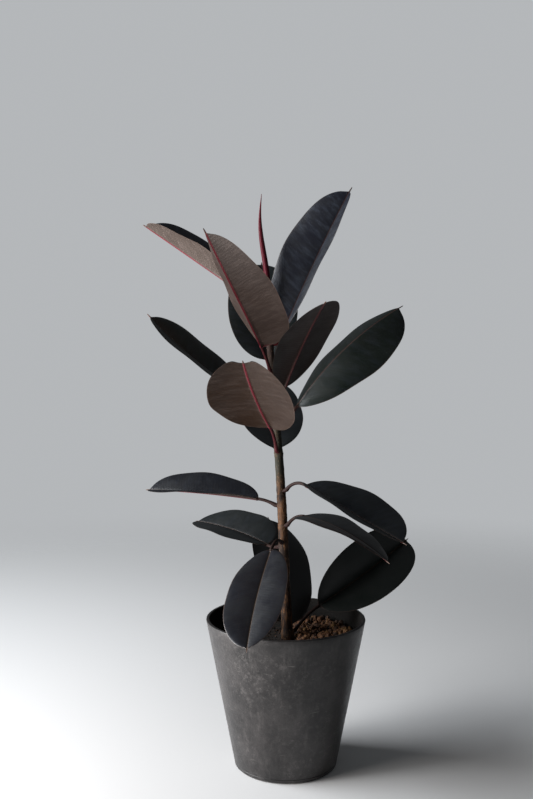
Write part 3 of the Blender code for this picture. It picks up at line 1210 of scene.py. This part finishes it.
@dataclass
class Stem:
    """The woody stem: its lean, its taper and the rings where leaves are and were.

    The route's rows hold a height above the soil and how far to the right the stem is there.
    The swell and the dip of a ring hold a share of the radius and a width, and the mark a width,
    in ring widths. Each wave round the bark holds its share of the radius, how often it goes
    round and how fast it turns with the height. The flare at the soil holds its share of the
    radius and its height.
    """

    soil_level: float
    route: tuple[tuple[float, float], ...] = (
        (0.000, 0.003), (0.068, 0.000), (0.128, -0.003), (0.188, -0.006), (0.248, -0.009),
        (0.303, -0.013), (0.378, -0.020), (0.428, -0.023), (0.468, -0.024),
    )
    lean_degree: int = 4
    base_radius: float = 0.0078
    tip_radius: float = 0.0042
    buried: float = 0.012
    sleeve: Sleeve = Sleeve(48, (26, 10))
    seed: int = 3
    ring_width: float = 0.0016
    ring_tilt: float = 0.0008
    ring_swell: tuple[float, float] = (0.10, 1.8)
    ring_dip: tuple[float, float] = (0.09, 0.5)
    ring_mark: float = 0.45
    old_strength: float = 0.6
    old_rings: tuple[float, ...] = (
        0.035, 0.056, 0.075, 0.096, 0.111, 0.143, 0.171, 0.195, 0.220, 0.237, 0.277, 0.347,
    )
    waves: tuple[tuple[float, int, int], ...] = ((0.012, 3, 60), (0.010, 2, -95))
    flare: tuple[float, float] = (0.18, 0.012)
    edge_angle: float = 80.0

    def lean(self, height: float | np.ndarray) -> np.ndarray:
        """Bows the centre line on a smooth curve.

        Args:
            height: A height above the soil, or several.

        Returns:
            How far the centre line lies to the right there.
        """
        heights, leans = np.array(self.route).T
        fit = np.polynomial.Polynomial.fit(heights, leans, self.lean_degree)
        return fit(np.clip(height, heights[0], heights[-1]))

    def axis(self, height: float) -> np.ndarray:
        """The centre line's point at a height above the soil."""
        return np.array((float(self.lean(height)), 0.0, self.soil_level + height))

    def radius(self, height: float | np.ndarray) -> np.ndarray:
        """Tapers the stem.

        Args:
            height: A height above the soil, or several.

        Returns:
            The radius there, without its rings.
        """
        start, end = self.route[0][0], self.route[-1][0]
        share = np.clip((height - start) / (end - start), 0.0, 1.0)
        return self.base_radius + (self.tip_radius - self.base_radius) * share

    def ring_shapes(
        self, heights: np.ndarray, angle: np.ndarray, nodes: list[float]
    ) -> tuple[np.ndarray, np.ndarray]:
        """Swells the bark round each leaf's node and each old ring, with a narrow dip in it.

        Args:
            heights: The points' heights above the soil.
            angle: Their angles round the stem.
            nodes: The heights at which leaves grow.

        Returns:
            The points' swell as a share of the radius, and how strongly each is marked.
        """
        draw = np.random.default_rng(self.seed)
        swell = np.zeros(len(heights))
        mark = np.zeros(len(heights))
        rings = [(height, 1.0) for height in nodes]
        rings += [(height, self.old_strength) for height in self.old_rings]
        for level, strength in rings:
            tilt = self.ring_tilt * np.cos(angle - draw.uniform(0, tau))
            near = (heights - level - tilt) / self.ring_width
            raised, sunk = (
                share * np.exp(-((near / width) ** 2))
                for share, width in (self.ring_swell, self.ring_dip)
            )
            swell += strength * (raised - sunk)
            mark += strength * np.exp(-((near / self.ring_mark) ** 2))
        return swell, np.clip(mark, 0.0, 1.0)

    def build(self, nodes: list[float]) -> bpy.types.Object:
        """Fits a sleeve to the centre line and swells it at each ring.

        Args:
            nodes: The heights at which leaves grow.

        Returns:
            The dressed stem.
        """
        piece = self.sleeve.build("woody_stem")
        ring, side = self.sleeve.places(piece.data)
        foot, tip = -self.buried, self.route[-1][0]
        heights = np.linspace(foot, tip, self.sleeve.rings)[ring]
        angle = side * tau / self.sleeve.sides
        swell, mark = self.ring_shapes(heights, angle, nodes)
        lumps = sum(
            share * np.sin(sides * angle + heights * turn) for share, sides, turn in self.waves
        )
        share, reach = self.flare
        flare = share * np.exp(-(((heights - self.route[0][0]) / reach) ** 2))
        radius = self.radius(heights) * (1.0 + swell + lumps + flare)
        x, y = self.lean(heights) + radius * np.cos(angle), -radius * np.sin(angle)
        set_coordinates(piece.data, np.stack((x, y, self.soil_level + heights), axis=1))
        store(piece.data, "ring", mark)
        piece.data.materials.append(BarkFinish(self.soil_level, self.soil_level + tip).make())
        for face in piece.data.polygons:
            face.material_index = 0
        finish_piece(piece, "stem", self.edge_angle)
        return piece


@dataclass
class Sheath:
    """The pointed stipule at the stem's tip, bowed to the left, with a fold that winds round it.

    The route's rows hold a rise above the stem's tip, how far to the right the sheath is there
    and its radius. The fold's side is an angle in radians, its turn radians for each metre of
    rise, its width radians and its height a share of the radius.
    """

    stem: Stem
    sleeve: Sleeve = Sleeve(28, (89,))
    route: tuple[tuple[float, float, float], ...] = (
        (-0.010, 0.0000, 0.0041), (0.000, 0.0000, 0.0041), (0.030, -0.0020, 0.0042),
        (0.055, -0.0048, 0.0038), (0.075, -0.0078, 0.0035), (0.095, -0.0112, 0.0028),
        (0.118, -0.0108, 0.0015), (0.1425, -0.0092, 0.0003),
    )
    bow_degree: int = 5
    depth_share: float = 0.85
    fold_height: float = 0.10
    fold_side: float = 4.4
    fold_turn: float = 9.0
    fold_width: float = 0.35
    edge_angle: float = 80.0

    def build(self) -> bpy.types.Object:
        """Fits a sleeve to the sheath's bow and lays a fold along its side.

        Returns:
            The dressed sheath.
        """
        piece = self.sleeve.build("crimson_sheath")
        ring, side = self.sleeve.places(piece.data)
        rises, leans, radii = np.array(self.route).T
        rise = np.linspace(rises[0], rises[-1], self.sleeve.rings)[ring]
        angle = side * tau / self.sleeve.sides
        lean = np.polynomial.Polynomial.fit(rises, leans, self.bow_degree)(rise)
        away = np.mod(angle - self.fold_side - self.fold_turn * rise, tau) - pi
        wrap = 1.0 + self.fold_height * np.exp(-((away / self.fold_width) ** 2))
        radius = np.interp(rise, rises, radii) * wrap
        top = self.stem.axis(self.stem.route[-1][0])
        x = top[0] + lean + radius * np.cos(angle)
        y = -self.depth_share * radius * np.sin(angle)
        set_coordinates(piece.data, np.stack((x, y, top[2] + rise), axis=1))
        for face in piece.data.polygons:
            face.material_index = 0
        finish = SheathFinish(float(top[2]), float(top[2] + rises[-1]))
        piece.data.materials.append(finish.make())
        finish_piece(piece, "sheath", self.edge_angle)
        return piece


# -------------------------------------------------------------------------------------- leaves


@dataclass(frozen=True)
class Habit:
    """Where a leaf leaves the stem, the way it points and bends, its size and its age.

    The azimuth is 0 to the right, 90 to the back and 270 to the front. The three rises are the
    slope where the petiole starts, where the blade starts and at the tip. The swing turns the
    blade sideways along its length, the roll and the twist turn it about its midrib, and the
    fold raises both halves towards each other. A skew over 1 moves the widest place towards the
    tip, and a notch draws both halves out past the midrib's end. The node's height is above the
    soil. The age is 0 on an old leaf and 1 on a new one, and the cast is 0 on one of the warmer
    shade and 1 on one of the cooler shade.
    """

    node_height: float
    azimuth: float
    petiole: float
    rise_start: float
    rise_blade: float
    rise_tip: float
    length: float
    width: float
    roll: float
    twist: float
    fold: float
    swing: float
    skew: float
    notch: float
    age: float
    cast: float


@dataclass
class Leaf:
    """One leaf: petiole, midrib and blade in a single skin.

    Places along the leaf go from -1 to 0 on the petiole and from 0 to 1 on the blade. Places
    across it go from -1 to 1.
    """

    number: int
    habit: Habit
    stem: Stem
    petiole_rings: int = 16
    blade_rings: int = 68
    end_crowding: float = 0.65
    half_thickness: float = 0.00045
    thickest_share: float = 0.8
    rim_power: int = 8
    petiole_radius: float = 0.0022
    petiole_flare: float = 0.45
    flare_reach: float = 0.010
    root_gap: float = 0.0003
    root_tilt: float = 0.0023
    level_tilt: float = 0.15
    root_depth: float = 0.0045
    rib_end_radius: float = 0.0006
    rib_taper: float = 0.7
    rib_overlap: float = 0.0002
    groove_depth: float = 0.00035
    groove_width: float = 0.0011
    groove_start: float = 0.1
    outline_fullness: float = 2.15
    outline_roundness: float = 0.52
    drip_share: float = 0.04
    drip_reach: float = 2.2
    drip_taper: float = 0.8
    drip_width: float = 0.0021
    point_width: float = 0.0003
    dry_start: float = 0.955
    dry_run: float = 0.02
    dry_strength: float = 0.85
    lobe_start: float = 0.55
    lobe_run: float = 0.40
    lobe_width: float = 0.009
    arch: float = 0.05
    ruffle: float = 0.020
    ruffle_turn: float = 15.0
    ruffle_power: float = 2.5
    ruffle_seed: int = 100
    shoulder: float = 0.035
    spread: float = 0.006
    sink: float = 0.3
    level_sine: float = 1e-6
    share_rise: float = 50.0
    edge_angle: float = 70.0

    def directions(self, heading: np.ndarray, rise: np.ndarray) -> np.ndarray:
        """Turns headings and rises into unit vectors.

        Args:
            heading: Degrees from +X towards +Y.
            rise: Degrees above the level.

        Returns:
            One unit vector for each pair.
        """
        heading, rise = np.radians(heading), np.radians(rise)
        flat = np.cos(rise)
        return np.stack((flat * np.cos(heading), flat * np.sin(heading), np.sin(rise)), axis=-1)

    def stations(self) -> np.ndarray:
        """Spreads the rings along the leaf, closer at both ends of the blade.

        Returns:
            Each ring's place along the leaf.
        """
        even = np.linspace(0.0, 1.0, self.blade_rings)
        crowded = 0.5 * (1.0 - np.cos(pi * even))
        blade = even + self.end_crowding * (crowded - even)
        return np.concatenate((np.linspace(-1.0, 0.0, self.petiole_rings, endpoint=False), blade))

    def bearings(self, place: np.ndarray) -> tuple[np.ndarray, np.ndarray, np.ndarray]:
        """Works out the heading, rise and roll at each place along the leaf.

        Args:
            place: Places along the leaf.

        Returns:
            Three arrays of degrees.
        """
        habit = self.habit
        blade = np.clip(place, 0.0, 1.0)
        stalk = np.clip(place + 1.0, 0.0, 1.0)
        rise = habit.rise_start + (habit.rise_blade - habit.rise_start) * stalk
        rise = rise + (habit.rise_tip - habit.rise_blade) * blade
        roll = (habit.roll + habit.twist * blade) * eased(stalk)
        return habit.azimuth + habit.swing * blade, rise, roll

    def first_step(self) -> np.ndarray:
        """Finds where the petiole comes out of the stem.

        Returns:
            The way from the stem's centre line to that point.
        """
        tilt = abs(sin(radians(self.habit.rise_start))) + self.level_tilt
        stem_radius = float(self.stem.radius(self.habit.node_height))
        outward = stem_radius + self.root_gap + self.root_tilt * tilt
        return outward * self.directions(np.array(self.habit.azimuth), np.array(0.0))

    def stalk_length(self) -> float:
        """The petiole's length outside the stem."""
        return self.habit.petiole - float(self.stem.radius(self.habit.node_height))

    def centre_line(self, place: np.ndarray) -> tuple[np.ndarray, np.ndarray]:
        """Follows the midrib from the root inside the stem to the tip.

        Args:
            place: The rings' places.

        Returns:
            The midrib's points and how far past the blade's root each is, below 0 on the petiole.
        """
        habit = self.habit
        middle = 0.5 * (place[1:] + place[:-1])
        heading, rise, _ = self.bearings(middle)
        span = np.where(middle < 0.0, self.stalk_length(), habit.length) * np.diff(place)
        steps = self.directions(heading, rise) * span[:, None]
        step = self.first_step()
        points = self.stem.axis(habit.node_height) + step
        points = points + np.concatenate((np.zeros((1, 3)), np.cumsum(steps, axis=0)))
        points[0] -= self.root_depth * step / np.linalg.norm(step)
        return points, np.where(place < 0.0, place * self.stalk_length(), place * habit.length)

    def half_width(self, place: np.ndarray) -> np.ndarray:
        """Draws the blade's outline: a full oval that ends in a short drip tip.

        Args:
            place: Places along the leaf.

        Returns:
            Half the blade's width at each.
        """
        body = np.clip(place / (1.0 - self.drip_share), 0.0, 1.0) ** self.habit.skew
        bulge = np.clip(1.0 - np.abs(2.0 * body - 1.0) ** self.outline_fullness, 0.0, 1.0)
        drip_start = 1.0 - self.drip_reach * self.drip_share
        past = np.clip((place - drip_start) / (1.0 - drip_start), 0.0, 1.0)
        outer_half = place > 0.5
        drip = self.drip_width * (1.0 - past) ** self.drip_taper * outer_half + self.point_width
        return np.maximum(0.5 * self.habit.width * bulge**self.outline_roundness, drip)

    def drawn_out(self, place: np.ndarray, reach: np.ndarray) -> np.ndarray:
        """How far a notched tip draws points out, given their places and reach from the midrib."""
        late = eased(np.clip((place - self.lobe_start) / self.lobe_run, 0.0, 1.0))
        return self.habit.notch * late * (1.0 - np.exp(-((reach / self.lobe_width) ** 2)))

    def lift(self, place: np.ndarray, share: np.ndarray) -> np.ndarray:
        """Folds the blade along its midrib, arches both halves and ruffles the edge.

        Args:
            place: Places along the leaf.
            share: Places across it.

        Returns:
            The height of the blade's middle plane over the midrib's line.
        """
        half, out = self.half_width(place), np.abs(share)
        draw = np.random.default_rng(self.ruffle_seed + self.number)
        phase, side_phase = draw.uniform(0.0, tau, 2)
        wave = np.sin(self.ruffle_turn * place + phase + np.sign(share) * side_phase)
        wave = self.ruffle * wave * out**self.ruffle_power
        arch = 4.0 * self.arch * out * (1.0 - out)
        return half * (out * sin(radians(self.habit.fold)) + arch + wave)

    def blade_height(
        self, place: np.ndarray, share: np.ndarray, upper: np.ndarray
    ) -> np.ndarray:
        """Gives the lifted blade its thickness, its rib below and its groove above.

        Args:
            place: Places along the leaf.
            share: Places across it.
            upper: Whether each point is on the upper face.

        Returns:
            The height of each point over the midrib's line.
        """
        half = self.half_width(place)
        cap = self.thickest_share * half
        thick = np.minimum(self.half_thickness, cap)
        thick = thick * np.sqrt(1.0 - np.abs(share) ** self.rim_power)
        reach = share * half * cos(radians(self.habit.fold))
        tapered = np.clip(place, 0, 1) ** self.rib_taper
        rib = self.petiole_radius + (self.rib_end_radius - self.petiole_radius) * tapered
        rib = np.minimum(rib, cap + self.rib_overlap)
        ridge = rib * np.sqrt(np.clip(1.0 - (reach / rib) ** 2, 0.0, 1.0))
        groove = self.groove_depth * np.exp(-((reach / self.groove_width) ** 2))
        groove = groove * np.clip(place / self.groove_start, 0.0, 1.0)
        lift = self.lift(place, share)
        return np.where(upper, lift + thick - groove, lift - thick - ridge)

    def section(
        self, place: np.ndarray, angle: np.ndarray
    ) -> tuple[np.ndarray, np.ndarray, np.ndarray]:
        """Shapes the cross section, which goes from a round petiole to a thin blade.

        Args:
            place: Places along the leaf.
            angle: Places round the skin, in radians.

        Returns:
            Each point's way across in metres, its height, and its place across the blade.
        """
        share = np.sign(np.cos(angle)) * np.cos(angle) ** 2
        blade_z = self.blade_height(place, share, np.sin(angle) >= -self.level_sine)
        flare = np.exp(-(((place + 1.0) * self.habit.petiole / self.flare_reach) ** 2))
        stalk_radius = self.petiole_radius * (1.0 + self.petiole_flare * flare)
        stalk_z = stalk_radius * np.sin(angle)
        wide = np.clip(place / self.spread, 0.0, 1.0)
        blade_x = share * self.half_width(place) * cos(radians(self.habit.fold))
        x = stalk_radius * np.cos(angle) * (1.0 - wide) + blade_x * wide
        round_z = np.sign(stalk_z) * np.sqrt(np.clip(stalk_radius**2 - x**2, 0.0, None))
        round_z = round_z - self.sink * stalk_radius * wide
        round_z = np.where(np.abs(x) > stalk_radius, blade_z, round_z)
        bladed = eased(np.clip(place / self.shoulder, 0.0, 1.0))
        z = np.where(place <= 0.0, stalk_z, round_z * (1.0 - bladed) + blade_z * bladed)
        return x, z, share

    def mark(
        self, mesh: bpy.types.Mesh, place: np.ndarray, share: np.ndarray, along: np.ndarray
    ) -> None:
        """Keeps what the finishes read on each point of the leaf.

        Args:
            mesh: The leaf's mesh.
            place: Places along the leaf.
            share: Places across it.
            along: Distances beyond the blade's root.
        """
        risen = share * np.clip(place * self.share_rise, 0.0, 1.0)
        across = share * self.half_width(place)
        dry = eased(np.clip((place - self.dry_start) / self.dry_run, 0.0, 1.0))
        store(mesh, "leaf_place", np.stack((along, risen, across), axis=1))
        store(mesh, "leaf_tip", self.dry_strength * dry)
        store(mesh, "leaf_age", np.full(len(place), self.habit.age))
        store(mesh, "leaf_cast", np.full(len(place), self.habit.cast))

    def build(
        self, sleeve: Sleeve, blank: bpy.types.Object, finishes: list[bpy.types.Material]
    ) -> bpy.types.Object:
        """Fits a copy of the blank sleeve to the leaf.

        Args:
            sleeve: The sleeve's counts.
            blank: The unit sleeve.
            finishes: The upper and the under face's materials.

        Returns:
            The dressed leaf.
        """
        piece = blank.copy()
        piece.data = blank.data.copy()
        piece.name = f"grown_leaf_{self.number:02d}"
        bpy.context.scene.collection.objects.link(piece)
        ring, side = sleeve.places(piece.data)

        stations = self.stations()
        centre, along = self.centre_line(stations)
        heading, rise, roll = self.bearings(stations)
        forward = self.directions(heading, rise)
        upward = self.directions(heading, rise + 90.0)
        level = np.cross(forward, upward)
        turn = np.radians(roll)[:, None]
        across = level * np.cos(turn) + upward * np.sin(turn)
        outward = upward * np.cos(turn) - level * np.sin(turn)

        place = stations[ring]
        x, z, share = self.section(place, side * tau / sleeve.sides)
        shift = self.drawn_out(place, x)
        points = centre[ring] + forward[ring] * shift[:, None]
        points = points + across[ring] * x[:, None] + outward[ring] * z[:, None]
        set_coordinates(piece.data, points)
        self.mark(piece.data, place, share, along[ring] + shift)
        for finish in finishes:
            piece.data.materials.append(finish)
        finish_piece(piece, f"leaf_{self.number:02d}", self.edge_angle)
        return piece


@dataclass
class Foliage:
    """All the leaves, from the soil up."""

    stem: Stem
    sleeve: Sleeve = Sleeve(72, (83,))
    habits: tuple[Habit, ...] = (
        Habit(0.008, 32, 0.0604, 50.5, 23, 22, 0.195, 0.103, -59, 9, 31, 13, 1.01, 0, 0, 0.3),
        Habit(0.01, 97, 0.022, 0, 46, 30, 0.202, 0.105, -34, 12, 12, 6, 1, 0, 0, 0.6),
        Habit(0.128, 123, 0.04, -22, 7, -2, 0.189, 0.089, 12, 2, 17, 11, 0.95, 0, 0.17, 0.55),
        Habit(0.135, 254, 0.06, 34, -32, -29, 0.175, 0.078, -8, -1, 7, 12, 1.04, 0, 0.1, 1),
        Habit(0.158, 306, 0.052, 50, 2, -29, 0.16, 0.076, -3, 24, 5, 10, 0.75, 0, 0.1, 0.7),
        Habit(0.185, 160, 0.035, 28, 4, -2, 0.179, 0.085, 6, 14, 21, -3, 1.11, 0, 0.2, 1),
        Habit(0.206, 315, 0.049, 54, -19, -18, 0.176, 0.088, 1, -10, 24, 1, 0.95, 0, 0.2, 0.7),
        Habit(0.256, 98, 0.026, 6, 23, 42, 0.19, 0.101, -2, -3, 15, 3, 1.05, 0, 0.2, 0.6),
        Habit(0.259, 255, 0.056, 69, 28, 28, 0.188, 0.111, 6, -7, -19, 10, 1.21, 0.018, 0.30, 0),
        Habit(0.298, 12, 0.037, 41, 56, 29, 0.21, 0.119, -24, -1, -23, 2, 1.28, 0, 0.3, 0),
        Habit(0.316, 176, 0.032, 24, 31, 48, 0.191, 0.095, 8, 10, 14, 0, 0.96, 0, 0.4, 0),
        Habit(0.325, 295, 0.041, 37, 49, 16, 0.195, 0.078, -8, -16, 2, -15, 1.07, 0, 0, 0.5),
        Habit(0.368, 254, 0.059, 49, 32, 53, 0.201, 0.105, 20, -5, 27, -21, 0.79, 0, 0.28, 0.8),
        Habit(0.377, 102, 0.028, -8, 56, 47, 0.19, 0.103, 17, -24, 13, -12, 0.97, 0, 0.4, 0.3),
        Habit(0.406, 6, 0.033, 53, 67, 62, 0.212, 0.101, -36, -2, 32, 1, 0.93, 0, 0.9, 1),
        Habit(0.443, 170, 0.051, 66, 34, 34, 0.173, 0.096, -6, 18, 31, -3, 1.17, 0, 1, 1),
    )

    def finishes(self) -> list[bpy.types.Material]:
        """Makes the finishes that all the leaves share.

        Returns:
            The upper and the under face's materials.
        """
        upper = LeafFinish(
            LeafSide.UPPER,
            old=(0.0080, 0.0085, 0.0090),
            # The new colour and the cool cast hold the young leaves' own tone and, in part,
            # painted sheen: they are lighter and bluer than the leaf itself.
            new=(0.0150, 0.0165, 0.0200),
            warm=(0.75, 1.15, 0.75),
            cool=(0.98, 0.97, 1.25),
            vein=(0.017, 0.019, 0.018),
            vein_strength=0.18,
            vein_swell=(0.08, 0.0005),
            # Painted sheen: the colour of the pale streaks across the upper face.
            painted_sheen=(0.040, 0.048, 0.066),
            rib_old=(0.050, 0.033, 0.022),
            rib_new=(0.075, 0.036, 0.030),
            stalk=(0.022, 0.011, 0.009),
            rib_reach=0.0013,
            roughness=(0.27, 0.45),
            specular=0.55,
        )
        under = LeafFinish(
            LeafSide.UNDER,
            old=(0.0130, 0.0060, 0.0050),
            new=(0.080, 0.060, 0.050),
            warm=(0.90, 0.69, 0.47),
            cool=(1.0, 1.0, 1.0),
            vein=(0.017, 0.009, 0.007),
            vein_strength=0.30,
            vein_swell=(0.12, 0.0005),
            # Painted sheen: the colour of the pale streaks across the under face.
            painted_sheen=(0.108, 0.082, 0.072),
            rib_old=(0.050, 0.012, 0.013),
            rib_new=(0.140, 0.012, 0.022),
            stalk=(0.018, 0.008, 0.0072),
            rib_reach=0.0020,
            roughness=(0.42, 0.60),
            specular=0.3,
        )
        return [upper.make(), under.make()]

    def build(self) -> list[bpy.types.Object]:
        """Models the blank sleeve once and fits a copy to each habit.

        Returns:
            The dressed leaves.
        """
        blank = self.sleeve.build("leaf_blank")
        finishes = self.finishes()
        leaves = [
            Leaf(number, habit, self.stem).build(self.sleeve, blank, finishes)
            for number, habit in enumerate(self.habits, start=1)
        ]
        bpy.data.objects.remove(blank)
        return leaves


# --------------------------------------------------------------------------------------- stage


@dataclass(frozen=True)
class Lamp:
    """A soft square light: its place, the length of its side, its power in watts, its colour."""

    name: str
    place: tuple[float, float, float]
    size: float
    power: float
    colour: Colour


@dataclass
class Studio:
    """A pale floor, soft light from the left and the camera."""

    floor_size: float = 60.0
    floor_fade: tuple[float, float] = (0.45, 2.2)
    floor_colour: Colour = (0.86, 0.86, 0.86)
    floor_roughness: float = 0.6
    camera_place: tuple[float, float, float] = (0.0, -1.231, 0.552)
    camera_down: float = 2.26
    camera_left: float = 1.235
    lens: float = 40.55
    sensor_width: float = 36.0
    backdrop_colour: Colour = (0.46, 0.475, 0.49)
    room_colour: Colour = (0.92, 0.96, 1.0)
    room_strength: float = 0.075
    lit_place: tuple[float, float, float] = (0.0, 0.0, 0.42)
    lamps: tuple[Lamp, ...] = (
        Lamp("window", (-2.1, -0.15, 1.10), 1.9, 92.0, (0.94, 0.97, 1.0)),
        Lamp("low_glow", (-0.85, -0.42, 0.12), 0.45, 16.0, (1.0, 0.95, 0.91)),
    )

    def build_floor(self) -> None:
        """Lays a plain pale floor that fades into the backdrop far from the plant."""
        bpy.ops.object.select_all(action="DESELECT")
        bpy.ops.mesh.primitive_plane_add(size=self.floor_size, location=(0, 0, 0))
        floor = bpy.context.object
        floor.name = "floor"
        shader = Shader("pale_floor", self.floor_roughness, 0.0)
        length = shader.node("ShaderNodeVectorMath", operation="LENGTH")
        shader.feed(length.inputs[0], shader.place())
        near = shader.fade(length.outputs["Value"], *self.floor_fade, 1.0, 0.0)
        shader.feed(shader.bsdf.inputs["Alpha"], near)
        floor.data.materials.append(shader.finish(self.floor_colour))

    def build_light(self, lamp: Lamp) -> None:
        """Hangs a lamp that faces the plant.

        Args:
            lamp: The lamp.
        """
        data = bpy.data.lights.new(lamp.name, "AREA")
        data.size = lamp.size
        data.energy = lamp.power
        data.color = lamp.colour
        light = bpy.data.objects.new(lamp.name, data)
        light.location = lamp.place
        aim = Vector(self.lit_place) - Vector(lamp.place)
        light.rotation_euler = aim.to_track_quat("-Z", "Y").to_euler()
        light.visible_camera = False
        bpy.context.scene.collection.objects.link(light)

    def build_camera(self) -> None:
        """Sets the camera at the viewing angle."""
        data = bpy.data.cameras.new("camera")
        data.lens = self.lens
        data.sensor_width = self.sensor_width
        camera = bpy.data.objects.new("camera", data)
        camera.location = self.camera_place
        camera.rotation_euler = (radians(90.0 - self.camera_down), 0.0, radians(self.camera_left))
        bpy.context.scene.collection.objects.link(camera)
        bpy.context.scene.camera = camera

    def build_world(self) -> None:
        """Surrounds the plant with a pale backdrop that lights it only a little."""
        world = bpy.data.worlds.new("soft_room")
        world.use_nodes = True
        nodes, links = world.node_tree.nodes, world.node_tree.links
        room = nodes["Background"]
        room.inputs["Color"].default_value = (*self.room_colour, 1.0)
        room.inputs["Strength"].default_value = self.room_strength
        backdrop = nodes.new("ShaderNodeBackground")
        backdrop.inputs["Color"].default_value = (*self.backdrop_colour, 1.0)
        chosen = nodes.new("ShaderNodeMixShader")
        links.new(nodes.new("ShaderNodeLightPath").outputs["Is Camera Ray"], chosen.inputs[0])
        links.new(room.outputs[0], chosen.inputs[1])
        links.new(backdrop.outputs[0], chosen.inputs[2])
        links.new(chosen.outputs[0], nodes["World Output"].inputs["Surface"])
        bpy.context.scene.world = world
        bpy.context.scene.view_settings.view_transform = "Standard"

    def build(self) -> None:
        """Builds the floor, the lights, the world and the camera."""
        self.build_floor()
        for lamp in self.lamps:
            self.build_light(lamp)
        self.build_world()
        self.build_camera()


def main() -> None:
    """Builds the plant and its stage, and logs each piece's face count."""
    logging.basicConfig(level=logging.INFO, format="%(name)s %(message)s")
    Studio().build()
    pot = Pot()
    pot.build()
    ground = Ground(pot)
    ground.build()
    stem = Stem(ground.level)
    foliage = Foliage(stem)
    stem.build([habit.node_height for habit in foliage.habits])
    Sheath(stem).build()
    foliage.build()


if __name__ == "__main__":
    main()
